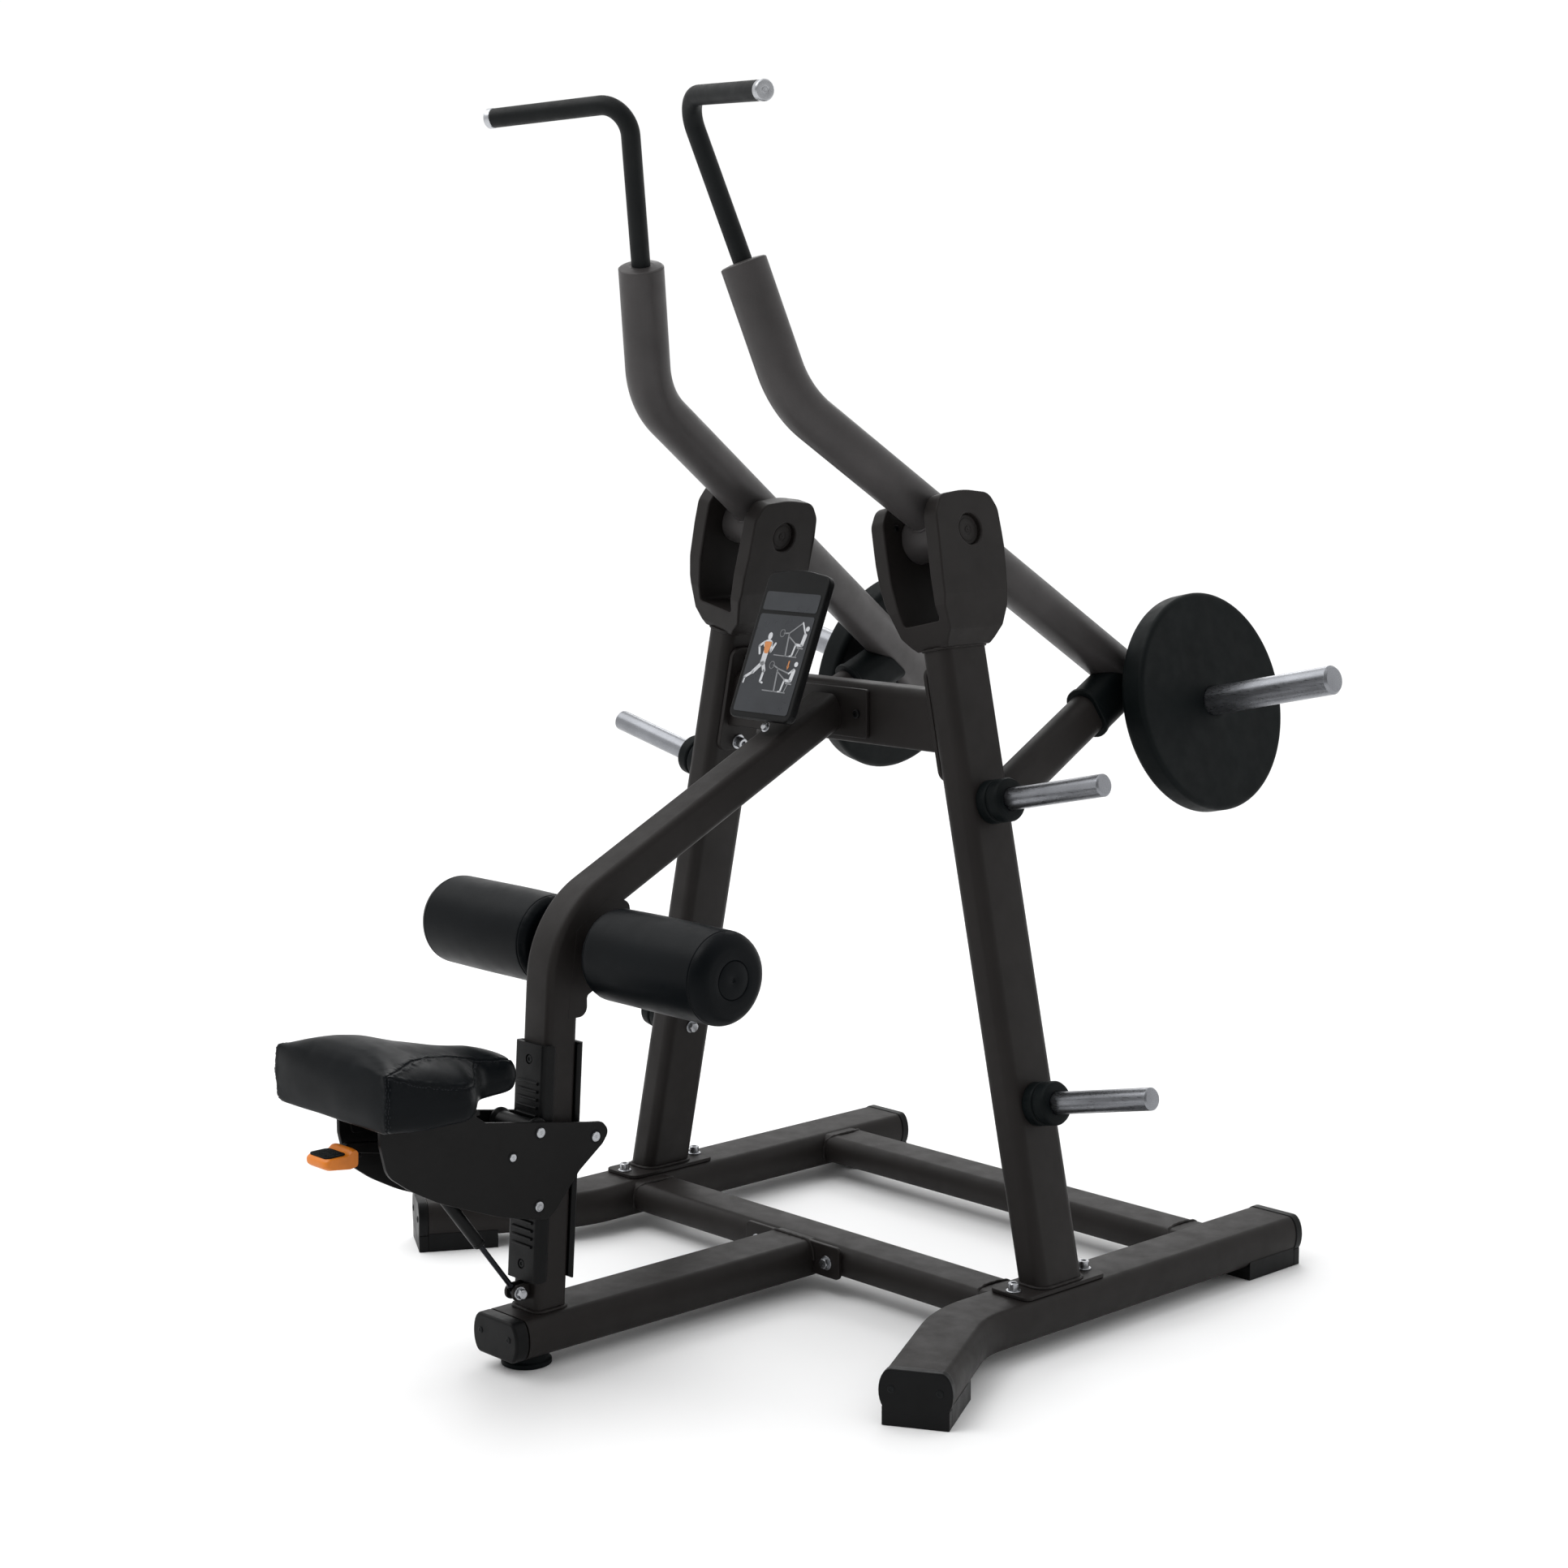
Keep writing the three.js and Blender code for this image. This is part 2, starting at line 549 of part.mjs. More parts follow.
function placard() {
  const { width: w, height: h } = PLACARD;
  const panel = extrude(roundedRectangle(-w / 2, -h / 2, w / 2, h / 2, PLACARD.corner),
    PLACARD.depth);
  const stem = box(-30, -h / 2 + 12, -34, 30, -h / 2 + 70, 2);
  const raised = moved(join(panel, stem),
    turnX(Math.PI / 2 - THREE.MathUtils.degToRad(PLACARD.tilt)),
    at(0, PLACARD.y, PLACARD.z));
  return cut(raised, sweep(postShape(GAP), postPath(), 2));
}

// ---------------------------------------------------------------- lever arms
const armPoint = ([y, z]) => vec(0, y, z);

function handlePath(start) {
  const corner = armPoint(HANDLE.corner);
  const end = corner.clone().addScaledVector(vec(...HANDLE.gripDirection), HANDLE.gripLength);
  return new BentPath([start, corner, end], [HANDLE.bendRadius], 5);
}

const armTop = armPoint(ARM.top);
const handleRise = armPoint(HANDLE.corner).sub(armTop).normalize();

function leverArm() {
  const tail = armPoint(ARM.horn).sub(armPoint(ARM.elbow)).normalize()
    .multiplyScalar(ARM.tail).add(armPoint(ARM.horn));
  const tube = sweep(circleShape(ARM.radius),
    new BentPath([tail, armPoint(ARM.elbow), armTop], [ARM.bendRadius], 5), ARM_SIDES / 2);
  const hub = rodX(ARM.hubRadius, -ARM.hubHalf, ARM.hubHalf, ARM_SIDES);
  const plug = moved(new THREE.CylinderGeometry(ARM.radius - 5, ARM.radius - 0.5, 5, ARM_SIDES),
    new THREE.Matrix4().makeRotationFromQuaternion(
      new THREE.Quaternion().setFromUnitVectors(vec(0, 1, 0), handleRise)),
    at(...armTop.clone().addScaledVector(handleRise, 1.5)));
  const core = sweep(circleShape(HANDLE.core),
    handlePath(armTop.clone().addScaledVector(handleRise, -20)), 6);
  const bore = rodX(BUSH.radius + GAP, -90, 90, 16);
  return cut(join(tube, hub, plug, core), bore);
}

function gripSleeve() {
  const ring = circleShape(HANDLE.sleeve);
  ring.holes.push(new THREE.Path().absarc(0, 0, HANDLE.core + GAP, 0, 2 * Math.PI, true));
  return sweep(ring, handlePath(armTop.clone().addScaledVector(handleRise, 4.5)), 6);
}

function gripCap() {
  const direction = vec(...HANDLE.gripDirection).normalize();
  const r = HANDLE.sleeve + 0.6;
  const profile = latheX([[0, GAP], [r, GAP], [r, HANDLE.capLength - 3],
    [r - 3, HANDLE.capLength], [0, HANDLE.capLength]], 20);
  const seat = armPoint(HANDLE.corner).addScaledVector(vec(...HANDLE.gripDirection),
    HANDLE.gripLength);
  return moved(profile, new THREE.Matrix4().makeRotationFromQuaternion(
    new THREE.Quaternion().setFromUnitVectors(X_AXIS, direction)), at(...seat));
}

function guardDisc() {
  const { radius: r, inner, outer, round } = DISC;
  const hole = HORN.radius + GAP;
  return latheX([[hole, inner], [r - round, inner], [r - 3, inner + 5], [r, inner + round],
    [r, outer - round], [r - 3, outer - 5], [r - round, outer], [hole, outer], [hole, inner]],
  28);
}

function loadHorn() {
  const start = 22;
  const body = latheX([[0, start], [HORN.bossRadius, start], [HORN.bossRadius, DISC.inner - GAP],
    [HORN.radius, DISC.inner - GAP], [HORN.radius, HORN.tip - 5], [HORN.radius - 5, HORN.tip],
    [0, HORN.tip]], 18);
  const run = armPoint(ARM.elbow).sub(armPoint(ARM.horn)).normalize();
  const past = sweep(circleShape(ARM.radius + GAP),
    new BentPath([run.clone().multiplyScalar(-90), run.clone().multiplyScalar(90)], []),
    ARM_SIDES / 2);
  return cut(body, past);
}

function armAssembly(name, side) {
  const frame = sideFrame(side);
  const arm = new THREE.Group();
  arm.position.z = PIVOT_UP;
  frame.add(arm);
  arm.add(mesh(`arm_${name}`, handed(leverArm(), side), armPaint));
  arm.add(mesh(`pivot_bush_${name}`, ringX(PIN.radius + GAP, BUSH.radius, -BUSH.half,
    BUSH.half), zinc));
  arm.add(mesh(`grip_sleeve_${name}`, handed(gripSleeve(), side), blackRubber));
  arm.add(mesh(`grip_cap_${name}`, handed(gripCap(), side), zinc));
  const disc = mesh(`guard_disc_${name}`, handed(guardDisc(), side), blackRubber);
  const horn = mesh(`load_horn_${name}`, handed(loadHorn(), side), steel);
  [disc, horn].forEach((piece) => {
    piece.position.set(0, ...ARM.horn);
    arm.add(piece);
  });
  return frame;
}

// ---------------------------------------------------------------- thigh rollers
function thighRollers() {
  const group = new THREE.Group();
  group.position.set(0, ROLLER.y, ROLLER.z);
  const end = ROLLER.outer - 8;
  group.add(mesh('roller_axle', rodX(ROLLER.axle, -end, end), steel));
  const { radius: r, inner, outer } = ROLLER;
  const hole = ROLLER.axle + GAP;
  const foam = latheX([[hole, inner], [r - 22, inner], [r - 6, inner + 7], [r, inner + 24],
    [r, outer - 26], [r - 7, outer - 8], [r - 24, outer], [0, outer], [0, end + GAP],
    [hole, end + GAP], [hole, inner]], 22);
  SIDES.forEach(([name, side]) => {
    group.add(mesh(`thigh_roller_${name}`, handed(foam, side), vinyl));
  });
  return group;
}

// ---------------------------------------------------------------- seat carriage
// Axis of a guide roller of this radius rolling on the front (-1) or rear (+1) strip at z.
function rollerAxis(facing, z, radius) {
  const reach = (POST.depth / 2 + GUIDE.proud + GAP + radius) / Math.cos(LEAN);
  return vec(0, postCentre(z) + facing * reach, z);
}

const guideRollers = {
  guide_roller_rear: { axis: rollerAxis(1, ROLLER_Z.rear, GUIDE_ROLLER.small), flange: 0 },
  guide_roller_lower: { axis: rollerAxis(-1, ROLLER_Z.lower, GUIDE_ROLLER.small), flange: 0 },
  guide_roller_upper: { axis: rollerAxis(-1, ROLLER_Z.upper, GUIDE_ROLLER.large), flange: 5 },
};

function carriagePlate() {
  const shape = new THREE.Shape();
  shape.moveTo(-1026, 452);
  shape.lineTo(-1026, 428);
  shape.quadraticCurveTo(-1012, 372, -969, 345);
  shape.quadraticCurveTo(-925, 316, -870, 298);
  shape.quadraticCurveTo(-790, 268, -735, 254);
  shape.quadraticCurveTo(-708, 248, -690, 262);
  shape.lineTo(-643, 316);
  shape.lineTo(-594, 352);
  shape.quadraticCurveTo(-580, 366, -592, 382);
  shape.quadraticCurveTo(-598, 388, -612, 390);
  shape.lineTo(-828, 428);
  shape.lineTo(-860, 452);
  shape.closePath();
  const plate = plateX(shape, CARRIAGE.plateInner, CARRIAGE.plateOuter, 3);
  const holes = Object.values(guideRollers).map(({ axis }) => axis);
  holes.push(vec(0, ...LEVER.pivot));
  return cut(plate, ...holes.map((p) =>
    moved(rodX(GUIDE_ROLLER.stub + GAP, 40, 70, 14), at(0, p.y, p.z))));
}

// Roller with its axle stubs through both plates; a flanged one keeps the strip between
// its two rims.
function guideRoller(radius, flange) {
  const { half, stub, track } = GUIDE_ROLLER;
  const end = CARRIAGE.plateOuter + 3;
  const rim = radius + flange;
  const edge = flange > 0 ? [[rim, half], [rim, track + 3], [radius, track]] : [[radius, half]];
  const side = [[0, end], [stub, end], [stub, half], ...edge];
  const otherSide = side.map(([r, x]) => [r, -x]).reverse();
  return latheX([...side, ...otherSide].reverse(), 14);
}

// Plan of the saddle pad: wide at the back, waisted into a nose at the post.
function padOutline(inset = 0) {
  const rear = PAD.rear + inset;
  const wide = PAD.halfRear - inset;
  const nose = PAD.halfNose - inset;
  const shape = new THREE.Shape();
  shape.moveTo(-wide + 22, rear);
  shape.lineTo(wide - 22, rear);
  shape.quadraticCurveTo(wide, rear, wide, rear + 22);
  shape.lineTo(wide, -960);
  shape.quadraticCurveTo(wide, -915, wide - 34, -893 - inset);
  shape.quadraticCurveTo(nose, -868 - inset, nose, -820);
  shape.quadraticCurveTo(nose, PAD.tip - inset, 0, PAD.tip - inset);
  shape.quadraticCurveTo(-nose, PAD.tip - inset, -nose, -820);
  shape.quadraticCurveTo(-nose, -868 - inset, -wide + 34, -893 - inset);
  shape.quadraticCurveTo(-wide, -915, -wide, -960);
  shape.lineTo(-wide, rear + 22);
  shape.quadraticCurveTo(-wide, rear, -wide + 22, rear);
  return shape;
}

// Side view of the pad: the saddle's top falls and its underside rises towards the nose.
function padProfile(rise) {
  const shape = new THREE.Shape();
  shape.moveTo(PAD.rear - 1, 470);
  shape.lineTo(-1000, PAD.bottom);
  shape.lineTo(-900, PAD.bottom + 2);
  shape.lineTo(PAD.tip + 1, 474);
  shape.lineTo(PAD.tip + 1, 506 + rise * 0.2);
  shape.quadraticCurveTo(-800, 526 + rise * 0.4, -872, 524 + rise * 0.7);
  shape.quadraticCurveTo(-1000, 530 + rise, PAD.rear - 1, 561 + rise);
  shape.closePath();
  return plateX(shape, -200, 200, 3);
}

function seatPad() {
  const height = 700;
  const slab = (inset, rise) =>
    toGeometry(toSolid(extrude(padOutline(inset), height, 3)).intersect(toSolid(padProfile(rise))));
  return join(slab(0, 0), slab(16, 22));
}

function padBracket() {
  const inner = CARRIAGE.plateInner - GAP;
  const tray = box(-88, -1015, 452 + GAP, 88, -862, PAD.bottom - GAP);
  const webs = [1, -1].map((side) =>
    handed(box(inner - 5, -1005, 425, inner, -880, 454), side));
  return join(tray, ...webs);
}

// Latch lever: a bar along the inside of the left plate, turning on the plates' cross pin.
function latchLever() {
  const [x0, x1] = LEVER.bar;
  const [py, pz] = LEVER.pivot;
  const outline = new THREE.Shape();
  outline.moveTo(py + 14, pz - 6);
  outline.lineTo(py + 44, pz + 2);
  outline.lineTo(py + 44, pz + 14);
  outline.lineTo(py + 6, pz + 15);
  outline.lineTo(-1032, 419);
  outline.lineTo(-1032, 403);
  outline.lineTo(py - 10, pz - 10);
  outline.closePath();
  const bar = plateX(outline, x0, x1);
  const tongue = box(x0, -1070, 403, 12, -1028, 409);
  const end = CARRIAGE.plateOuter - 1;
  const pin = moved(rodX(GUIDE_ROLLER.stub, -end, end, 14), at(0, py, pz));
  const sleeve = moved(rodX(11, x0, 46, 14), at(0, py, pz));
  return join(bar, tongue, pin, sleeve);
}

function leverGrip() {
  const outline = new THREE.Shape();
  outline.moveTo(LEVER.tip + 8, 396);
  outline.lineTo(-1052, 391);
  outline.quadraticCurveTo(-1040, 391, -1040, 402);
  outline.lineTo(-1040, 418);
  outline.quadraticCurveTo(-1042, 426, -1052, 424);
  outline.lineTo(-1064, 416);
  outline.lineTo(LEVER.tip + 6, 416);
  outline.quadraticCurveTo(LEVER.tip, 415, LEVER.tip, 407);
  outline.quadraticCurveTo(LEVER.tip, 398, LEVER.tip + 8, 396);
  const paddle = plateX(outline, -27, 27, 3);
  const socket = box(LEVER.bar[0] - 1, -1071, 403 - GAP, 12 + GAP, -1020, 409 + GAP);
  return cut(paddle, socket);
}

const gasAxis = vec(0, GAS.top[0] - GAS.eye[0], GAS.top[1] - GAS.eye[1]);
const gasTurn = new THREE.Matrix4().makeRotationFromQuaternion(
  new THREE.Quaternion().setFromUnitVectors(X_AXIS, gasAxis.clone().normalize()));

// Gas spring pieces lie along X from the lower eye before being turned into place.
function gasCylinder() {
  const length = gasAxis.length();
  const mouth = length * GAS.mouth;
  const hole = GAS.rod + GAP;
  return latheX([[hole, mouth], [GAS.radius, mouth], [GAS.radius, length - 16], [7, length - 8],
    [7, length + 6], [0, length + 6], [0, length - 20], [hole, length - 20], [hole, mouth]], 16);
}

function gasRod() {
  const tip = gasAxis.length() * GAS.rodTip;
  const stem = latheX([[0, 6], [GAS.rod, 6], [GAS.rod, tip], [0, tip]], 12);
  const bore = rodX(GAS.pin + GAP, -20, 20, 12);
  return cut(join(moved(stem, gasTurn), rodX(9, -5, 5, 14)), bore);
}

function seatAssembly() {
  const group = new THREE.Group();
  SIDES.forEach(([name, side]) => {
    group.add(mesh(`carriage_plate_${name}`, handed(carriagePlate(), side), framePaint));
  });
  Object.entries(guideRollers).forEach(([name, { axis, flange }]) => {
    const radius = flange > 0 ? GUIDE_ROLLER.large : GUIDE_ROLLER.small;
    const roller = mesh(name, guideRoller(radius, flange), blackPlastic);
    roller.position.copy(axis);
    group.add(roller);
  });
  group.add(mesh('pad_bracket', padBracket(), framePaint));
  group.add(mesh('seat_pad', seatPad(), vinyl));
  group.add(mesh('adjust_lever', latchLever(), framePaint));
  group.add(mesh('lever_grip', leverGrip(), orangePlastic));
  return group;
}

function gasSpring() {
  const group = new THREE.Group();
  group.position.set(0, ...GAS.eye);
  group.add(mesh('gas_cylinder', moved(gasCylinder(), gasTurn), blackPlastic));
  group.add(mesh('gas_rod', gasRod(), steel));
  return group;
}

// ---------------------------------------------------------------- the machine
const machine = new THREE.Group();
machine.add(baseFrame());
SIDES.forEach(([name, side]) => {
  machine.add(sideStructure(name, side));
  machine.add(armAssembly(name, side));
});
machine.add(mesh('crossbeam', crossbeam(), framePaint));
machine.add(mesh('seat_post', seatPost(), framePaint));
machine.add(mesh('guide_front', guideStrip(-1), blackPlastic));
machine.add(mesh('guide_rear', guideStrip(1), blackPlastic));
machine.add(mesh('placard', placard(), placardBlack));
machine.add(thighRollers());
machine.add(seatAssembly());
machine.add(gasSpring());

// The origin is on the floor under the middle of the machine's bounding box.
machine.updateMatrixWorld(true);
const middle = new THREE.Box3().setFromObject(machine).getCenter(new THREE.Vector3());
machine.position.y = -middle.y;

export default machine;
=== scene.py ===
"""Looks of a plate-loaded pulldown machine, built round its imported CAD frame.

Lengths here are millimetres in the machine's own coordinates: X to its right, Y from the seat
to the weight horns, Z up from the floor, and Y = 0 in the plane of the arm pivots. They become
metres in the frame's coordinates when a mesh is made.
"""
from math import acos, asin, atan2, cos, exp, pi, radians, sin, sqrt, tan

import bmesh
import bpy
import numpy as np
from mathutils import Matrix, Vector, noise
from mathutils.bvhtree import BVHTree


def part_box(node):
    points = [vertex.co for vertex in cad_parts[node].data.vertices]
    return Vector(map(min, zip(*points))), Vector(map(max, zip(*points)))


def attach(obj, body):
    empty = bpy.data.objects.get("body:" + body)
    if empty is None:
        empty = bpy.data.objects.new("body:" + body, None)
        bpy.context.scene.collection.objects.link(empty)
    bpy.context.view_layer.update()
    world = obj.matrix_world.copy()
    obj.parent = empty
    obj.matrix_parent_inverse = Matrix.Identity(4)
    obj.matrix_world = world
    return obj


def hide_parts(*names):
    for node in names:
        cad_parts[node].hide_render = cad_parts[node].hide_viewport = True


# ------------------------------------------------------------------ frame and driving sizes
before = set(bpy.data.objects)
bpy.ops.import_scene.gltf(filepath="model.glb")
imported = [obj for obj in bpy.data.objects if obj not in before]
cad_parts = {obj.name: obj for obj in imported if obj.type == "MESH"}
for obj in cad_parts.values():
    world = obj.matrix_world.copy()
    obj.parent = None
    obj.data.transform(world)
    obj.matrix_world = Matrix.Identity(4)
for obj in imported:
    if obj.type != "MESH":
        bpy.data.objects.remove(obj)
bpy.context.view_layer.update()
PIVOT_Y = sum(corner[1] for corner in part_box("pivot_pin_right")) / 2
MM = 0.001

TILT = radians(12.54)
PLANE_FOOT_X = 513.6
PIVOT_UP = 1308.7 / cos(TILT)

RAIL = {"x": 490, "rear": 598, "width": 114, "height": 66, "flat": 78, "middle": 55}
FLARE = {"angle": radians(30), "corner_y": -215, "radius": 200, "length": 272}
CROSS = {"width": 100, "height": 54, "flat": 64, "middle": 58.5}
CROSS_Y = {"front": -64, "rear": 428}
FOOT = {"cap": 18, "length": 144, "half": 53}
CENTRE = {"front": -746, "cap": 28, "foot_y": -710, "foot_radius": 38}
UPRIGHT = {"width": 107, "thickness": 60, "corner": 19}
YOKE = {"half": 77, "inner": 47, "bottom": -187, "floor": -143}
ARM = {
    "radius": 38, "hub": 39, "hub_half": 45.5, "bend": 150,
    "elbow": (-286.8, 231), "top": (-344.8, 450.8), "horn": (516.3, -330.7), "tail": 42,
}
HANDLE = {
    "sleeve": 15.8, "bend": 46, "corner": (-418.8, 714.8),
    "grip": (0.929, -0.269, -0.2585), "length": 266,
}
HORN = {"radius": 25, "tip": 371, "boss": 44}
DISC = {"radius": 192.5, "inner": 59.6, "outer": 109.6}
STORAGE = {"upper": 870.5, "lower": 380.3}
STOP = {"rise": radians(26.5), "anchor": -474}
BEAM = {"bottom": 952, "top": 1055, "depth": 60}
POST = {
    "width": 68, "depth": 62, "edge": 12, "bend": 150,
    "foot": (-682.5, 88), "corner": (-642.5, 708.7), "head": (-38.3, 1006.8),
}
LEAN = atan2(POST["corner"][0] - POST["foot"][0], POST["corner"][1] - POST["foot"][1])
GUIDE = {"front_wrap": 18, "rear_wrap": 3}
ROLLER = {"y": -580, "z": 663, "radius": 75, "inner": 69, "outer": 356}
ROLLER_BORE = 14.4
CARRIAGE = {"inner": 50, "outer": 58}
TRAY = {"rear": -1015, "front": -862, "bottom": 452.4, "top": 459.4, "half": 88}
GUSSET = {
    "inner": 24, "outer": 34.4, "radii": [0, 18, 8, 20, 40, 16, 0, 0],
    "outline": [(-645, 559), (-604, 559), (-604, 592), (-535, 625),
                (-513, 690), (-513, 735), (-560, 745), (-625, 700)],
}
RIB = {"pitch": 13.1, "high": 3.4, "root": 3.2, "crest": 1.4, "upper": 8, "lower": 7}
PAD = {"rear": -1078, "wide": 150, "narrow": 62, "tip": -749}
PAD_INSET = 3
LEVER = {"pivot": (-777, 363), "tip": -1105}
GAS = {"eye": (-731, 122), "top": (-905, 352), "radius": 10, "rod": 4.5, "mouth": 0.40, "tip": 0.677}
PLACARD = {"width": 151, "height": 264, "depth": 16, "y": -136, "z": 1117, "tilt": radians(22.5)}
CAMERA = {"spot": (3511.3, -3448.6, 1577.4), "azimuth": 46.7, "elevation": 8.17, "lens": 65.7}


# ------------------------------------------------------------------ shape kit
class Shape:
    """Vertices in millimetres and faces, before they become a piece."""

    def __init__(self, points, faces):
        self.points = np.asarray(points, dtype=float)
        self.faces = [tuple(face) for face in faces]

    def moved(self, matrix):
        turn = np.array(matrix.to_3x3())
        return Shape(self.points @ turn.T + np.array(matrix.translation), self.faces)

    def mirrored(self):
        flipped = self.points * np.array([-1, 1, 1])
        return Shape(flipped, [face[::-1] for face in self.faces])

    def __add__(self, other):
        start = len(self.points)
        faces = self.faces + [tuple(i + start for i in face) for face in other.faces]
        return Shape(np.vstack([self.points, other.points]), faces)


def both(shape):
    return shape + shape.mirrored()


def total(shapes):
    shapes = list(shapes)
    whole = shapes[0]
    for shape in shapes[1:]:
        whole = whole + shape
    return whole


def move(x, y, z):
    return Matrix.Translation((x, y, z))


def turn(angle, axis):
    return Matrix.Rotation(angle, 4, axis)


def basis(x_axis, y_axis, z_axis, origin=(0, 0, 0)):
    """Matrix that carries local axes onto these directions at this origin."""
    rows = [[x_axis[i], y_axis[i], z_axis[i], origin[i]] for i in range(3)]
    return Matrix(rows + [[0, 0, 0, 1]])


def aim(direction, origin=(0, 0, 0)):
    """Matrix that carries local +X onto a direction."""
    x_axis = Vector(direction).normalized()
    helper = Vector((0, 0, 1)) if abs(x_axis.z) < 0.9 else Vector((0, 1, 0))
    y_axis = helper.cross(x_axis).normalized()
    return basis(x_axis, y_axis, x_axis.cross(y_axis), origin)


def arc(cx, cy, rx, ry, start, end, steps):
    angles = np.linspace(start, end, steps + 1)
    return [(cx + rx * cos(a), cy + ry * sin(a)) for a in angles]


def rounded(corners, radii, steps=6, closed=True):
    """A polyline with its corners rounded; radii is one number or one for each corner."""
    count = len(corners)
    sizes = [radii] * count if np.isscalar(radii) else list(radii)
    out = []
    for i, corner in enumerate(corners):
        here = Vector(corner)
        if sizes[i] <= 0 or (not closed and i in (0, count - 1)):
            out.append(tuple(here))
            continue
        back = Vector(corners[i - 1]) - here
        ahead = Vector(corners[(i + 1) % count]) - here
        half = back.angle(ahead) / 2
        reach = min(sizes[i] / tan(half), back.length * 0.49, ahead.length * 0.49)
        start = here + back.normalized() * reach
        end = here + ahead.normalized() * reach
        centre = here + (back.normalized() + ahead.normalized()).normalized() * (
            reach / cos(half))
        for k in range(steps + 1):
            spread = start.lerp(end, k / steps) - centre
            radius = (start - centre).length
            out.append(tuple(centre + spread.normalized() * radius))
    return out


def rectangle(x0, y0, x1, y1, radius=0.0, steps=6):
    return rounded([(x0, y0), (x1, y0), (x1, y1), (x0, y1)], radius, steps)


def oval(thickness, length, flat, steps=14):
    """Flat oval: straight sides over flat, half-ellipse ends, long way along the second axis."""
    a, b, f = thickness / 2, length / 2, flat / 2
    return arc(0, -f, a, b - f, pi, 2 * pi, steps) + arc(0, f, a, b - f, 0, pi, steps)


def circle(radius, steps=48):
    return [(radius * cos(2 * pi * k / steps), radius * sin(2 * pi * k / steps))
            for k in range(steps)]


def loft(rings, capped=True, looped=False):
    """Skin over rings of equal length; looped joins the last ring to the first."""
    size = len(rings[0])
    points = [point for ring in rings for point in ring]
    faces = []
    last = len(rings) if looped else len(rings) - 1
    for r in range(last):
        low, high = r * size, ((r + 1) % len(rings)) * size
        for k in range(size):
            n = (k + 1) % size
            faces.append((low + k, low + n, high + n, high + k))
    if capped and not looped:
        faces.append(tuple(range(size))[::-1])
        faces.append(tuple(range((len(rings) - 1) * size, len(rings) * size)))
    return Shape(points, faces)


def prism(outline, low, high, plane="yz"):
    """An outline in a plane, pushed along the third axis from low to high."""
    place = {
        "yz": lambda p, h: (h, p[0], p[1]),
        "xz": lambda p, h: (p[0], h, p[1]),
        "xy": lambda p, h: (p[0], p[1], h),
    }[plane]
    return loft([[place(p, low) for p in outline], [place(p, high) for p in outline]])


def block(x0, y0, z0, x1, y1, z1):
    return prism(rectangle(y0, z0, y1, z1), x0, x1)


def route(points, radii, steps=14):
    """Points and headings along straight runs joined by round bends."""
    points = [Vector(p) for p in points]
    out = [(points[0], (points[1] - points[0]).normalized())]
    for i, radius in enumerate(radii):
        corner = points[i + 1]
        before = (corner - points[i]).normalized()
        after = (points[i + 2] - corner).normalized()
        bend = before.angle(after)
        start = corner - before * radius * tan(bend / 2)
        inward = (after - before * cos(bend)).normalized()
        centre = start + inward * radius
        for k in range(steps + 1):
            a = bend * k / steps
            spot = centre - inward * radius * cos(a) + before * radius * sin(a)
            out.append((spot, before * cos(a) + inward * sin(a)))
    out.append((points[-1], (points[-1] - points[-2]).normalized()))
    return out


def straight(start, end):
    """Stations of a straight run."""
    start, end = Vector(start), Vector(end)
    heading = (end - start).normalized()
    return [(start, heading), (end, heading)]


def sweep(outline, stations, side=(1, 0, 0), grow=None):
    """An outline carried along stations; its first axis starts along side."""
    across = Vector(side)
    rings = []
    for index, (spot, heading) in enumerate(stations):
        across = (across - heading * across.dot(heading)).normalized()
        over = heading.cross(across)
        scale = grow(index) if grow else 1.0
        rings.append([tuple(spot + across * a * scale + over * b * scale) for a, b in outline])
    return loft(rings)


def lathe(profile, steps=48):
    """Round shape about X from (radius, x) or (radius, x, sides) stops; sides makes a stop
    a regular polygon with that many sides, as on a nut."""
    rings = []
    for stop in profile:
        radius, x = stop[0], stop[1]
        sides = stop[2] if len(stop) > 2 else 0
        ring = []
        for k in range(steps):
            angle = 2 * pi * k / steps
            reach = max(radius, 1e-4)
            if sides:
                sector = 2 * pi / sides
                reach *= cos(sector / 2) / cos((angle % sector) - sector / 2)
            ring.append((x, reach * cos(angle), reach * sin(angle)))
        rings.append(ring)
    closed = profile[0][:2] == profile[-1][:2]
    return loft(rings[:-1] if closed else rings, capped=not closed, looped=closed)


def turned(profile, radius, steps=5):
    """A lathe profile with its inner corners rounded."""
    return rounded(profile, [radius] * len(profile), steps, closed=False)


def bar(radius, low, high):
    """Lathe profile of a plain round bar."""
    return [(0, low), (radius, low), (radius, high), (0, high)]


def pipe(inner, outer, low, high):
    """Lathe profile of a plain pipe."""
    return [(inner, low), (outer, low), (outer, high), (inner, high), (inner, low)]


def leaning(shape):
    """From the right side plane's own frame to the machine's."""
    return shape.moved(move(PLANE_FOOT_X, 0, 0) @ turn(-TILT, "Y"))


def pivoted(shape):
    """From the right arm's own frame, centred on its pivot, to the machine's."""
    return leaning(shape.moved(move(0, 0, PIVOT_UP)))


ROLLER_PLACE = move(0, ROLLER["y"], ROLLER["z"])


# ------------------------------------------------------------------ pieces
def show(thing):
    bpy.context.scene.collection.objects.link(thing)


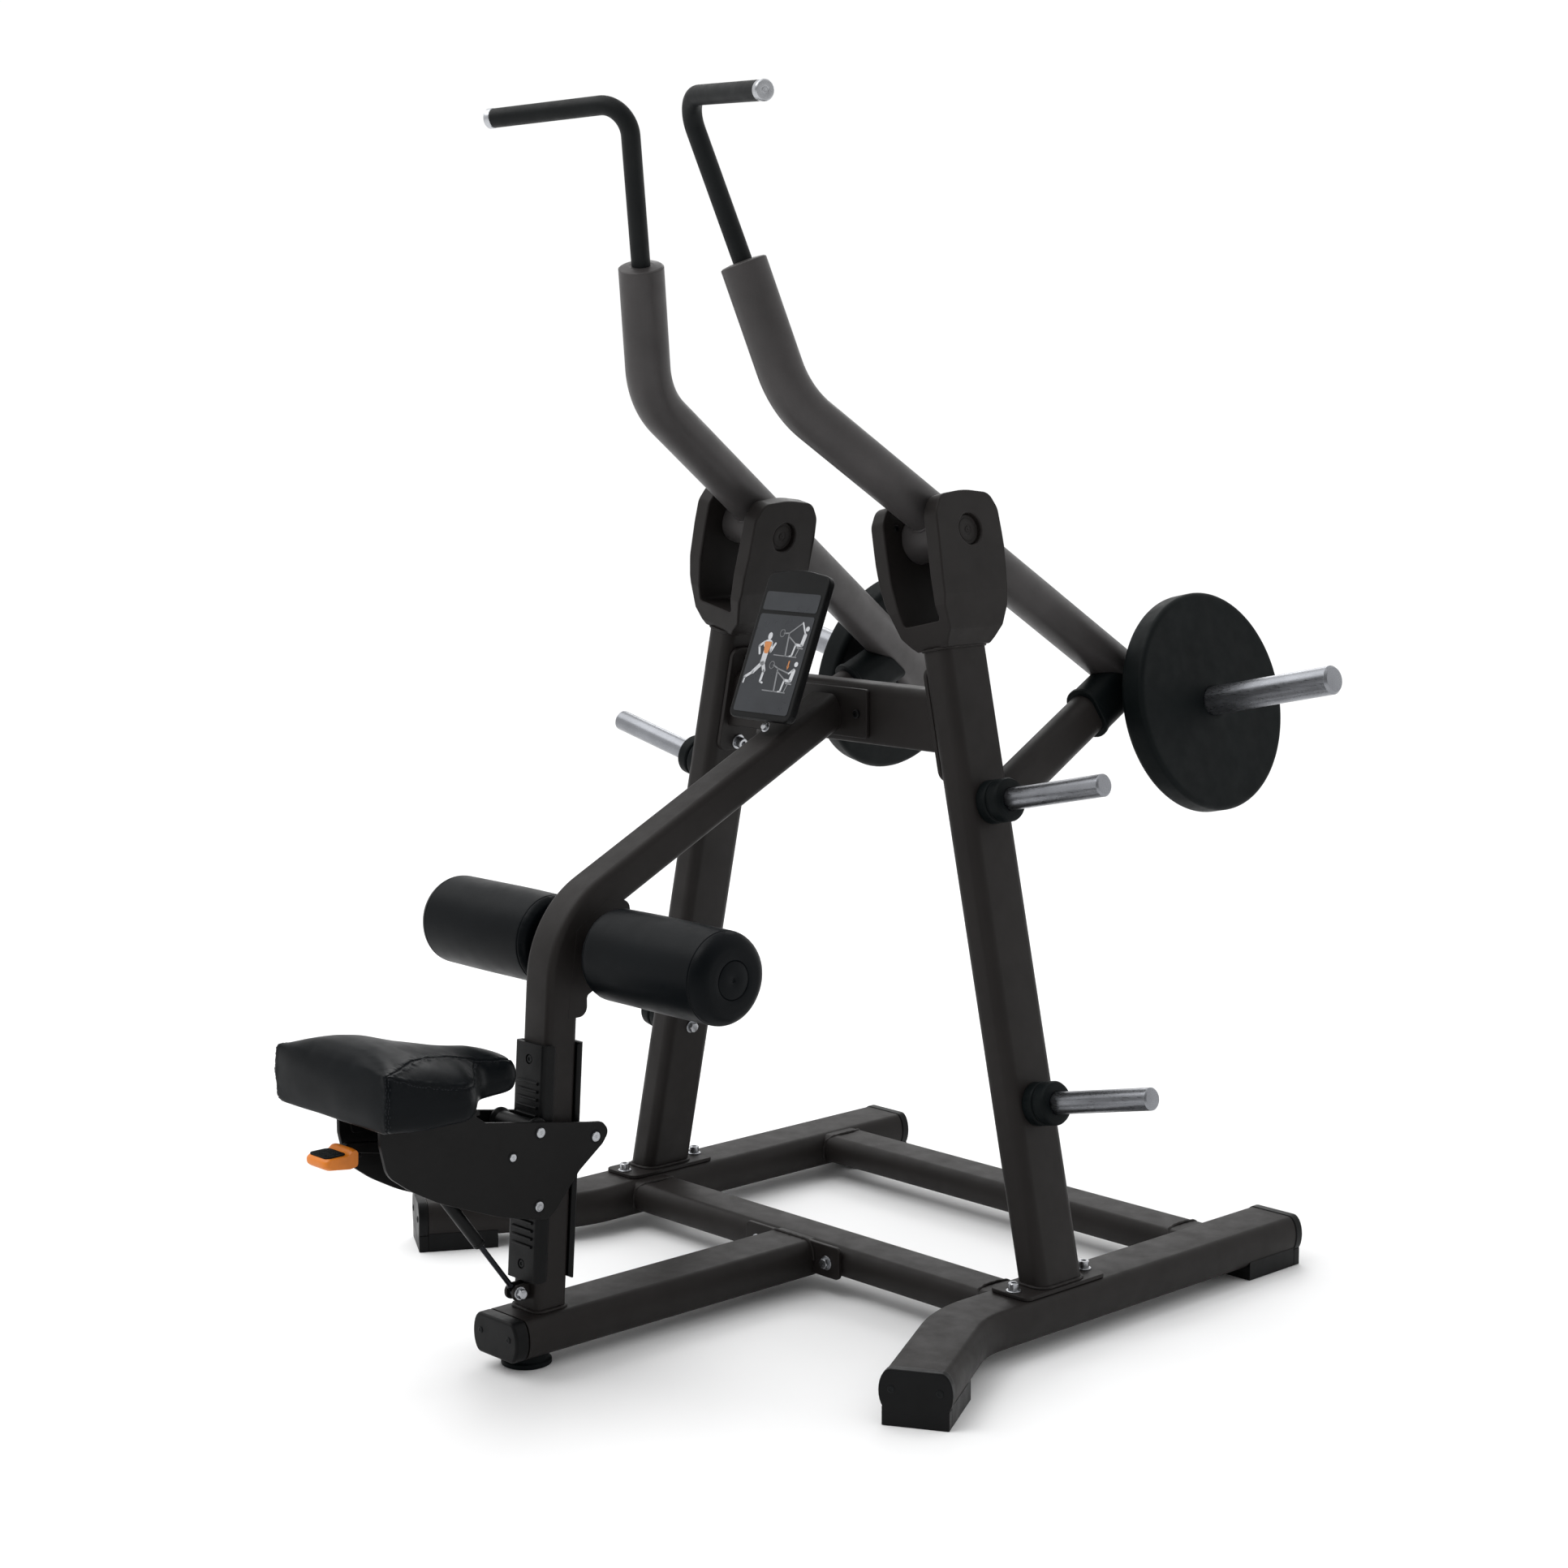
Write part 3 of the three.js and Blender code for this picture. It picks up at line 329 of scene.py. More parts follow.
def solid(name, points, faces, merge, dissolve=0.0):
    """A Blender object with close vertices merged and its normals facing out."""
    mesh = bpy.data.meshes.new(name)
    mesh.from_pydata([tuple(p) for p in points], [], faces)
    work = bmesh.new()
    work.from_mesh(mesh)
    bmesh.ops.remove_doubles(work, verts=work.verts, dist=merge)
    if dissolve:
        bmesh.ops.dissolve_degenerate(work, edges=work.edges, dist=dissolve)
    bmesh.ops.recalc_face_normals(work, faces=work.faces)
    work.to_mesh(mesh)
    work.free()
    thing = bpy.data.objects.new(name, mesh)
    show(thing)
    return thing


def raw(name, shape):
    """Turns a shape into a Blender object, in the frame's metres."""
    return solid(name, shape.points * MM + np.array([0, PIVOT_Y, 0]), shape.faces, 2e-6, 1e-6)


def make(name, shape, material, body="frame", replaces=(), bevel=0.0, angle=32, steps=3):
    """Makes a piece from a shape: it rides on a CAD body and may replace CAD nodes."""
    return dress(raw(name, shape), material, body, replaces, bevel, angle, steps)


def dress(piece, material, body, replaces=(), bevel=0.0, angle=32, steps=3):
    mesh = piece.data
    mesh.materials.clear()
    mesh.materials.append(material)
    mesh.polygons.foreach_set("use_smooth", [True] * len(mesh.polygons))
    mesh.set_sharp_from_angle(angle=radians(angle))
    if bevel:
        add_bevel(piece, bevel, angle, steps)
    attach(piece, body)
    if replaces:
        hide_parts(*replaces)
    return piece


def add_bevel(piece, width, angle=32, steps=3):
    rounding = piece.modifiers.new("rounded edges", "BEVEL")
    settings = {"width": width * MM, "segments": steps, "limit_method": "ANGLE",
                "angle_limit": radians(angle), "harden_normals": True, "use_clamp_overlap": True}
    for key, value in settings.items():
        setattr(rounding, key, value)


def pair(name, shape, material, body="frame", replaces=(), **options):
    """A right-hand piece and its mirror image. A body or node ending in _ takes its side."""
    for side, form in (("right", shape), ("left", shape.mirrored())):
        own = lambda word: word + side if word.endswith("_") else word
        make(f"{name}_{side}", form, material, own(body), [own(n) for n in replaces], **options)


def carved(base, cutters):
    """A shape with others cut out of it."""
    body = solid("carving", base.points, base.faces, 1e-3)
    tools = [solid("cutter", s.points, s.faces, 1e-3) for s in cutters]
    for tool in tools:
        step = body.modifiers.new("step", "BOOLEAN")
        step.operation = "DIFFERENCE"
        step.solver = "EXACT"
        step.object = tool
    graph = bpy.context.evaluated_depsgraph_get()
    result = body.evaluated_get(graph).to_mesh()
    points = [tuple(v.co) for v in result.vertices]
    faces = [tuple(p.vertices) for p in result.polygons]
    body.evaluated_get(graph).to_mesh_clear()
    for thing in [body] + tools:
        bpy.data.objects.remove(thing)
    return Shape(points, faces)


# ------------------------------------------------------------------ materials
class Nodes:
    """Small helper that adds and links shader nodes."""

    def __init__(self, name, slot):
        self.material = bpy.data.materials.new(name)
        self.material.use_nodes = True
        self.material["slot"] = slot
        self.tree = self.material.node_tree
        self.shader = self.tree.nodes["Principled BSDF"]
        self.place = self.add("ShaderNodeTexCoord").outputs["Object"]

    def add(self, kind, **settings):
        node = self.tree.nodes.new(kind)
        for key, value in settings.items():
            if hasattr(node, key):
                setattr(node, key, value)
            else:
                node.inputs[key].default_value = value
        return node

    def link(self, source, target):
        self.tree.links.new(source, target)

    def noise(self, scale, detail=3, roughness=0.5, stretch=None):
        node = self.add("ShaderNodeTexNoise", Scale=scale, Detail=detail, Roughness=roughness)
        if stretch:
            mapping = self.add("ShaderNodeMapping", Scale=stretch)
            self.link(self.place, mapping.inputs["Vector"])
            self.link(mapping.outputs["Vector"], node.inputs["Vector"])
        else:
            self.link(self.place, node.inputs["Vector"])
        return node.outputs["Fac"]

    def ramp(self, factor, stops):
        """Colour or grey from a factor; stops are (position, colour or grey)."""
        node = self.add("ShaderNodeValToRGB")
        band = node.color_ramp
        while len(band.elements) < len(stops):
            band.elements.new(0.5)
        for element, (position, value) in zip(band.elements, stops):
            element.position = position
            colour = (value,) * 3 if np.isscalar(value) else value
            element.color = (*colour, 1)
        self.link(factor, node.inputs["Fac"])
        return node.outputs["Color"]

    def bump(self, height, strength, distance, below=None):
        node = self.add("ShaderNodeBump", Strength=strength, Distance=distance)
        self.link(height, node.inputs["Height"])
        if below:
            self.link(below, node.inputs["Normal"])
        return node.outputs["Normal"]

    def set(self, **values):
        for key, value in values.items():
            socket = self.shader.inputs[key.replace("_", " ")]
            if isinstance(value, bpy.types.NodeSocket):
                self.link(value, socket)
            else:
                socket.default_value = value


def shade(colour, factor):
    return tuple(min(1.0, c * factor) for c in colour)


def powder_coat(name, slot, colour, metallic, rough, gloss, speckle=0.25, depth=0.00022):
    """Baked textured paint: fine pebbled skin, faint flecks, and scuffs that shift the gloss."""
    n = Nodes(name, slot)
    grain = n.noise(1150, 2, 0.6)
    blotch = n.noise(9, 4, 0.6)
    fleck = n.noise(2600, 1, 0.5)
    base = n.ramp(blotch, [(0.3, shade(colour, 0.86)), (0.7, shade(colour, 1.12))])
    mix = n.add("ShaderNodeMix", data_type="RGBA", blend_type="OVERLAY")
    mix.inputs["Factor"].default_value = speckle
    n.link(base, mix.inputs[6])
    n.link(n.ramp(fleck, [(0.35, 0.32), (0.7, 0.75)]), mix.inputs[7])
    n.set(Base_Color=mix.outputs[2], Metallic=metallic, Specular_IOR_Level=gloss,
          Roughness=n.ramp(n.noise(22, 5, 0.65), [(0.3, rough - 0.06), (0.75, rough + 0.09)]),
          Normal=n.bump(grain, 0.55, depth))
    return n.material


def moulded(name, slot, colour, rough, gloss=0.2, depth=0.00016):
    """Moulded plastic or rubber: spark-eroded grain with soft wear patches."""
    n = Nodes(name, slot)
    grain = n.add("ShaderNodeTexVoronoi", Scale=1300)
    n.link(n.place, grain.inputs["Vector"])
    wear = n.noise(14, 5, 0.6)
    n.set(Base_Color=n.ramp(wear, [(0.3, shade(colour, 0.8)), (0.75, shade(colour, 1.25))]),
          Roughness=n.ramp(n.noise(35, 4, 0.6), [(0.3, rough - 0.07), (0.7, rough + 0.08)]),
          Specular_IOR_Level=gloss,
          Normal=n.bump(grain.outputs["Distance"], 0.35, depth))
    return n.material


def upholstery(name, slot, colour):
    """Coated vinyl: pebbled leather grain in two sizes, and handling marks."""
    n = Nodes(name, slot)
    pebble = n.add("ShaderNodeTexVoronoi", Scale=620, feature="SMOOTH_F1")
    pebble.inputs["Smoothness"].default_value = 0.6
    n.link(n.place, pebble.inputs["Vector"])
    fine = n.bump(n.noise(2100, 2, 0.5), 0.18, 0.00012)
    n.set(Base_Color=n.ramp(n.noise(11, 5, 0.62), [(0.3, shade(colour, 0.82)),
                                                   (0.72, shade(colour, 1.22))]),
          Roughness=n.ramp(n.noise(26, 5, 0.6), [(0.3, 0.33), (0.72, 0.45)]),
          Normal=n.bump(pebble.outputs["Distance"], 0.4, 0.00022, fine))
    n.set(Specular_IOR_Level=0.07)
    return n.material


def bare_metal(name, slot, colour, rough, stretch=(1, 1, 1), scale=900):
    """Machined or plated metal: directional tool marks and faint tarnish."""
    n = Nodes(name, slot)
    marks = n.noise(scale, 3, 0.55, stretch)
    n.set(Base_Color=n.ramp(n.noise(18, 4, 0.6), [(0.3, shade(colour, 0.86)), (0.75, shade(colour, 1.08))]),
          Metallic=1.0,
          Roughness=n.ramp(marks, [(0.3, rough - 0.07), (0.7, rough + 0.1)]),
          Normal=n.bump(marks, 0.18, 0.00006))
    return n.material


PAINT = powder_coat("frame_paint", "frame_paint", (0.0122, 0.0104, 0.0098), 0.0, 0.5, 0.17)
# Darker copy of the frame paint for the carriage plates, pad tray, tray webs and latch lever: painted shade
# where the seat pad shades them
UNDER_SEAT_SHADE_PAINT = powder_coat("under_seat_shade_paint", "frame_paint", (0.0042, 0.004, 0.004), 0.0, 0.42, 0.14)
ARM_PAINT = powder_coat("arm_paint", "arm_paint", (0.05, 0.0465, 0.0465), 0.25, 0.42, 0.25, 0.4, 0.00012)
PLASTIC = moulded("black_plastic", "black_plastic", (0.0036, 0.0038, 0.0041), 0.4, 0.12)
RUBBER = moulded("black_rubber", "rubber", (0.0026, 0.0042, 0.0046), 0.55, 0.09, 0.00022)
GRIP = moulded("grip_rubber", "rubber", (0.0048, 0.0058, 0.0062), 0.5, 0.14, 0.0003)
VINYL = upholstery("vinyl", "vinyl", (0.0018, 0.0027, 0.0036))
THREAD = moulded("thread", "vinyl", (0.016, 0.017, 0.02), 0.6, 0.15)
STEEL = bare_metal("horn_steel", "steel", (0.24, 0.247, 0.265), 0.3, (0.05, 1, 1))
CHROME = bare_metal("rod_steel", "steel", (0.3, 0.305, 0.32), 0.2, (1, 1, 0.1))
DARK_STEEL = bare_metal("dark_steel", "steel", (0.02, 0.021, 0.024), 0.3, (1, 1, 0.1))
ZINC = bare_metal("zinc", "zinc", (0.44, 0.45, 0.47), 0.28, scale=1400)
ORANGE = moulded("orange_plastic", "orange_plastic", (0.58, 0.165, 0.012), 0.36, 0.3)
PANEL = moulded("placard_panel", "placard", (0.02, 0.0225, 0.027), 0.32, 0.3, 0.00006)
INK = moulded("placard_print", "placard", (0.5, 0.51, 0.53), 0.4, 0.2, 0.00003)
INK_GREY = moulded("placard_lines", "placard", (0.2, 0.205, 0.215), 0.4, 0.2, 0.00003)
INK_WARM = moulded("placard_print_warm", "placard", (0.5, 0.2, 0.07), 0.4, 0.2, 0.00003)


# ------------------------------------------------------------------ fasteners and welds
def cap_screw(spot, direction, thread=12.0):
    """Socket head cap screw standing on a face: washer, plain head and hexagon socket."""
    r, h = thread * 0.75, thread
    lift = thread * 0.2
    profile = [(0, lift + h * 0.45), (r * 0.52, lift + h * 0.5, 6), (r * 0.54, lift + h, 6),
               (r * 0.66, lift + h), (r * 0.9, lift + h), (r, lift + h - r * 0.12),
               (r, lift + 0.2), (r * 0.98, lift), (0, lift)]
    shape = lathe(profile, 36)
    w = thread * 1.05
    shape = shape + lathe([(0, lift - 0.02), (w - 0.6, lift - 0.02), (w, lift - 0.6), (w, 0.3),
                           (w - 0.3, -0.5), (0, -0.5)], 36)
    return shape.moved(aim(direction, spot))


def hex_bolt(spot, direction, across=16.0, height=8.0, washer=True):
    r = across / 2 / cos(pi / 6)
    lift = 2.0 if washer else 0.0
    shape = lathe([(0, lift + height), (r * 0.72, lift + height), (r * 0.86, lift + height - 0.3),
                   (r, lift + height - 2, 6), (r, lift, 6), (0, lift)], 36)
    if washer:
        shape = shape + lathe([(0, lift), (r + 2, lift), (r + 2.6, lift - 0.6), (r + 2.6, -0.4),
                               (0, -0.4)], 36)
    return shape.moved(aim(direction, spot))


def button(spot, direction, radius, height, dimple=0.35):
    """Low domed pin end or screw head with a small centre dimple."""
    d = radius * dimple
    return lathe([(0, height * 0.6), (d * 0.9, height * 0.62), (d, height), (radius * 0.75, height * 0.94),
                  (radius * 0.95, height * 0.62), (radius, height * 0.2), (radius, -0.6), (0, -0.6)],
                 32).moved(aim(direction, spot))


def weld(stations, radius=3.2):
    """A rippled weld bead along stations."""
    ripple = lambda index: 1 + 0.14 * sin(index * 1.9) + 0.05 * sin(index * 5.3)
    return sweep(circle(radius, 10), stations, (0.3, 0.2, 0.93), ripple)


def along(points, closed=False, spacing=5.0):
    """Evenly spaced points and headings along a polyline."""
    line = [Vector(p) for p in points]
    if closed:
        line.append(line[0])
    lengths = np.cumsum([0] + [(b - a).length for a, b in zip(line, line[1:])])
    count = max(3, int(lengths[-1] / spacing))
    marks = np.linspace(0, lengths[-1], count + 1)
    spots = [Vector([np.interp(m, lengths, [p[i] for p in line]) for i in range(3)]) for m in marks]
    out = []
    for i, spot in enumerate(spots):
        if closed:
            ahead, back = spots[(i + 1) % count], spots[(i - 1) % count]
        else:
            ahead, back = spots[min(i + 1, count)], spots[max(i - 1, 0)]
        out.append((spot, (ahead - back).normalized()))
    return out


# ------------------------------------------------------------------ base frame
def rail_section(grow=0.0):
    return oval(RAIL["height"] + 2 * grow, RAIL["width"] + 2 * grow, RAIL["flat"])


def flare_point(distance):
    return (RAIL["x"] + distance * sin(FLARE["angle"]),
            FLARE["corner_y"] - distance * cos(FLARE["angle"]), RAIL["middle"])


def side_rails():
    corner = (RAIL["x"], FLARE["corner_y"], RAIL["middle"])
    path = route([(RAIL["x"], RAIL["rear"], RAIL["middle"]), corner, flare_point(FLARE["length"])],
                 [FLARE["radius"]], 18)
    pair("side_rail", sweep(rail_section(), path, (0, 0, 1)), PAINT, replaces=["rail_"], angle=40)


def foot_moulding():
    """End cap and foot for a tube that ends at the origin, heading +Y."""
    thick, middle = FOOT["cap"], RAIL["middle"]
    cap = prism([(x, middle + z) for z, x in oval(69, 117, RAIL["flat"])[::-1]], 0.4, thick, "xz")
    half, low = FOOT["half"], middle - RAIL["height"] / 2 - 0.4
    side = acos((half - RAIL["flat"] / 2) / 18.4)
    right = arc(RAIL["flat"] / 2, middle, 18.4, 33.4, -side, -pi / 2, 8)
    section = [(-half, 0), (half, 0)] + right + [(-x, z) for x, z in right[::-1]]
    block = prism(section, thick - FOOT["length"], 0.5, "xz")
    toe = prism(rectangle(-half, 0.3, half, thick - 0.3, 2), 0, low + 8, "xy")
    screws = total(button((x, thick, 58), (0, 1, 0), 6, 1.6, 0.5) for x in (-38, 38))
    return cap, block + toe, screws


def feet():
    cap, block, screws = foot_moulding()
    front = move(*flare_point(FLARE["length"])[:2], 0) @ turn(pi + FLARE["angle"], "Z")
    for end, place in (("front", front), ("rear", move(RAIL["x"], RAIL["rear"], 0))):
        pair(f"rail_cap_{end}", cap.moved(place), PLASTIC, replaces=[f"foot_{end}_"], bevel=2.4)
        pair(f"foot_block_{end}", block.moved(place), PLASTIC, bevel=1.6)
        pair(f"foot_screws_{end}", screws.moved(place), GRIP)


def cross_tubes():
    section = oval(CROSS["height"], CROSS["width"], CROSS["flat"])
    reach = RAIL["x"] - RAIL["flat"] / 2
    for end, y in CROSS_Y.items():
        path = straight((-reach, y, CROSS["middle"]), (reach, y, CROSS["middle"]))
        make(f"cross_tube_{end}", sweep(section, path, (0, 0, 1)), PAINT, "frame",
             [f"cross_{end}"], angle=40)
        bead = [(RAIL["x"] - RAIL["width"] / 2 + 2 - 18 * max(0, (z - 70) / 18) ** 2, y + w, z)
                for z, w in [(40, -50), (58, -50.5), (74, -46), (84, -36), (86.5, -15), (86.5, 15),
                             (84, 36), (74, 46), (58, 50.5), (40, 50)]]
        pair(f"cross_weld_{end}", weld(along(bead)), PAINT, angle=60)


def centre_rail():
    meet = CROSS_Y["front"] - 32
    front, middle = CENTRE["front"], RAIL["middle"]
    path = straight((0, front, middle), (0, meet - 10, middle))
    make("centre_tube", sweep(rail_section(), path, (0, 0, 1)), PAINT, "frame", ["centre_rail"], angle=40)
    plate = prism(rectangle(-118, 31, 118, 88, 9), meet - 26, meet - 18, "xz")
    make("centre_plate", plate, PAINT, bevel=1.6)
    edge = arc(-39, 55, 18.5, 33.5, 0.75 * pi, 0.5 * pi, 4) + arc(39, 55, 18.5, 33.5, 0.5 * pi, 0, 6)
    seam = [(x, meet - 27, z) for x, z in edge]
    make("centre_weld", weld(along(seam), 2.8), PAINT, angle=60)
    bolts = total(hex_bolt((x, meet - 26, 57), (0, -1, 0), 17, 8) for x in (-88, 88))
    make("centre_bolts", bolts, ZINC, bevel=0.5)
    cap = straight((0, front - CENTRE["cap"], middle), (0, front - 0.4, middle))
    make("centre_end_cap", sweep(rail_section(0.2), cap, (0, 0, 1)), PLASTIC, "frame", ["centre_cap"],
         bevel=5, angle=40, steps=4)
    screws = total(button((x, front - CENTRE["cap"], 60), (0, -1, 0), 5.5, 1.4, 0.5) for x in (-36, 36))
    make("centre_cap_screws", screws, GRIP)
    r = CENTRE["foot_radius"]
    foot = lathe(turned([(0, 0), (r + 3, 0), (r + 3, 7), (r - 1, 10), (r - 2, 21.6), (0, 21.6)], 1.6), 48)
    make("levelling_foot", foot.moved(aim((0, 0, 1), (0, CENTRE["foot_y"], 0))), RUBBER, "frame",
         ["centre_foot"])


# ------------------------------------------------------------------ uprights and yokes
def upright_outline(grow=0.0):
    t, w = UPRIGHT["thickness"] / 2 + grow, UPRIGHT["width"] / 2 + grow
    return rectangle(-t, -w, t, w, UPRIGHT["corner"] + grow, 8)


def level_cut(points, height):
    """Where the leaning tube's outline meets a level plane, in the machine's coordinates."""
    out = []
    for w, y in points:
        s = (height - w * sin(TILT)) / cos(TILT)
        out.append((PLANE_FOOT_X + w * cos(TILT) - s * sin(TILT), y, height))
    return out


def uprights():
    top = PIVOT_UP + YOKE["bottom"]
    bottom = level_cut(upright_outline(), 95)
    head = leaning(Shape([(w, y, top) for w, y in upright_outline()], [])).points
    pair("upright_tube", loft([bottom, [tuple(p) for p in head]]), PAINT, replaces=["upright_"], angle=40)
    plate = prism(rectangle(448, -102, 532, 98, 14, 8), 88.3, 95.2, "xy")
    pair("upright_base", plate, PAINT, bevel=1.5)
    pair("upright_weld", weld(along(level_cut(upright_outline(1.5), 96.5), True)), PAINT, angle=60)
    bolts = total(cap_screw((491, y, 95.2), (0, 0, 1), 12) for y in (-88, 86))
    pair("base_bolts", bolts, ZINC, bevel=0.5)


def yoke_shape():
    side = [(-52, -187), (52, -187), (58, -178), (77, -128), (77, -70), (76, -8), (74, 32), (58, 59),
            (0, 66),
            (-58, 60), (-75, 32), (-77, -8), (-79, -70), (-75, -118), (-58, -178)]
    radii = [4, 4, 6, 10, 90, 120, 30, 26, 160, 26, 26, 120, 90, 24, 8]
    body = prism(rounded(side, radii, 7), -YOKE["half"], YOKE["half"])
    inner = YOKE["inner"]
    slot = prism(rectangle(-inner, YOKE["floor"], inner, 200, 7), -200, 200, "xz")
    wedge = rounded([(35, -192), (140, -192), (140, 120), (77, 120), (77, -104), (66, -160)],
                    [0, 0, 0, 0, 24, 10], 6)
    shave = prism(wedge, -200, 200, "xz")
    pocket = lathe(bar(26, 66, 120), 48)
    bore = lathe(bar(15.3, -120, 120), 40)
    shape = carved(body, [slot, shave, shave.mirrored(), pocket, pocket.mirrored(), bore])
    below = np.clip((-32 - shape.points[:, 2]) / 90, 0, 1)
    shape.points[:, 0] *= 1 - 0.12 * below ** 1.3
    return shape


def yokes():
    pair("yoke_casting", pivoted(yoke_shape()), PAINT, replaces=["yoke_"], bevel=4.5, angle=38, steps=4)
    face = 69.5
    cover = lathe(turned([(0, 66.4), (24.6, 66.4), (24.6, face), (21, face), (20.5, face - 0.7),
                          (19.2, face - 0.7),
                          (18.8, face), (9, face), (8.6, face - 0.6), (5, face - 0.6), (4.6, face + 0.3),
                          (1.6, face + 0.3), (1.2, face - 0.5), (0, face - 0.5)], 0.15, 2), 48)
    shaft = lathe(bar(15, -67, 67), 40)
    pair("pivot_covers", pivoted(both(cover)), PAINT, replaces=["pivot_pin_"], bevel=0.4)
    pair("pivot_shaft", pivoted(shaft), CHROME)
    studs = total(button((-YOKE["inner"] + 0.2, y, v), (1, 0, 0), 6, 3) for y, v in ((-46, 24), (46, 24)))
    pair("yoke_screws", pivoted(studs), PLASTIC)
    collar = [tuple(p) for p in pivoted(Shape([(w, y, -187) for w, y in upright_outline(1.0)], [])).points]
    pair("yoke_weld", weld(along(collar, True), 2.6), PAINT, angle=60)


def weight_storage():
    root = UPRIGHT["thickness"] / 2 + 0.3
    horn = lathe(turned([(0, root), (18.5, root), (18.5, 277), (15.5, 280), (0, 280)], 1.0, 3), 48)
    ring = lathe(turned([(18.8, root), (36.5, root), (36.5, 47), (35, 49.5), (33, 50), (33, 52.5),
                         (35, 53.5),
                         (36.5, 56), (36.5, 72), (34.5, 75.5), (29, 76.6), (18.8, 76.6), (18.8, root)],
                         1.0, 3), 56)
    bolt = hex_bolt((-root, 0, 0), (-1, 0, 0), 17, 8)
    for level, height in STORAGE.items():
        place = move(0, 0, height / cos(TILT))
        pair(f"store_horn_{level}", leaning(horn.moved(place)), STEEL, replaces=[f"storage_horn_{level}_"])
        pair(f"store_collar_{level}", leaning(ring.moved(place)), RUBBER,
             replaces=[f"storage_collar_{level}_"])
        pair(f"store_bolt_{level}", leaning(bolt.moved(place)), ZINC, bevel=0.5)


def stop_station(y):
    heading = Vector((0, cos(STOP["rise"]), sin(STOP["rise"])))
    return Vector((0, y, PIVOT_UP + STOP["anchor"] + y * tan(STOP["rise"]))), heading


def arm_straight(grow):
    start, end = Vector((0, *ARM["horn"])), Vector((0, *ARM["elbow"]))
    heading = (end - start).normalized()
    path = [(start - heading * 60, heading), (end, heading)]
    return sweep(circle(ARM["radius"] + grow, 64), path).moved(move(0, 0, PIVOT_UP))


def stop_arms():
    tube = sweep(oval(50, 75, 30), [stop_station(y) for y in (48, 357)])
    pair("stop_tube", leaning(tube), PAINT, replaces=["stop_arm_"], angle=40)
    boot = sweep(oval(62, 90, 34), [stop_station(y) for y in (305, 440)])
    lip = sweep(oval(66, 95, 34), [stop_station(y) for y in (303, 312)])
    slope = atan2(ARM["horn"][1] - ARM["elbow"][1], ARM["horn"][0] - ARM["elbow"][0])
    normal = Vector((0, sin(slope), -cos(slope)))
    seat = Vector((0, *ARM["horn"])) - Vector((0, cos(slope), sin(slope))) * 160 + normal * 16
    above = block(-100, -400, 0, 100, 400, 300).moved(
        move(seat.x, seat.y, seat.z + PIVOT_UP) @ turn(slope, "X"))
    saddle = carved(boot, [arm_straight(0.8), above])
    pair("stop_boot", leaning(saddle), RUBBER, replaces=["stop_bumper_"], bevel=1.6, angle=40)
    pair("stop_boot_lip", leaning(lip), RUBBER, bevel=2.2, angle=40)
    spot, _ = stop_station(50)
    ring = [tuple(spot + Vector((a, 0, 0)) + Vector((0, 0, 1)) * (b / cos(STOP["rise"])))
            for a, b in oval(50, 75, 30, 8)]
    pair("stop_weld", leaning(weld(along(ring, True), 3)), PAINT, angle=60)


# ------------------------------------------------------------------ crossbeam and seat post
def crossbeam():
    half = BEAM["depth"] / 2
    section = rounded([(-half, BEAM["bottom"]), (half, BEAM["bottom"]), (half, BEAM["top"]),
                       (-half, BEAM["top"])],
                      [5, 5, 17, 17], 7)
    tube = prism(section, -1, 1)
    reach = PLANE_FOOT_X - tan(TILT) * tube.points[:, 2] - 37 / cos(TILT)
    tube.points[:, 0] *= reach
    make("beam_tube", tube, PAINT, "frame", ["crossbeam"], angle=40)
    face = -UPRIGHT["thickness"] / 2 - 0.3
    low, high = 914 / cos(TILT), 1102 / cos(TILT)
    plate = prism(rectangle(-44, low, 44, high, 19, 8), face - 8, face)
    pair("beam_end_plate", leaning(plate), PAINT, bevel=1.4)
    bolts = total(cap_screw((face - 8, 0, s / cos(TILT)), (-1, 0, 0), 13) for s in (929, 1086))
    pair("beam_end_bolts", leaning(bolts), ZINC, bevel=0.5)
    front = -half - 0.3
    mount = prism(rectangle(-97, 962, 97, 1046, 7), front - 8, front, "xz")
    make("mount_plate", mount, PAINT, bevel=1.4)
    screws = total(button((x, front - 8, z), (0, -1, 0), 8, 5, 0.4) for x in (-73, 73) for z in (1003,))
    make("mount_bolts", screws, PLASTIC)


def post_outline(grow=0.0):
    w, d = POST["width"] / 2 + grow, POST["depth"] / 2 + grow
    return rectangle(-w, -d, w, d, POST["edge"] + grow, 8)


def post_route():
    head = (0, POST["head"][0] + 1, POST["head"][1] + 0.5)
    return route([(0, POST["foot"][0] - 0.4, POST["foot"][1] - 6), (0, *POST["corner"]), head],
                 [POST["bend"]],
                 20)


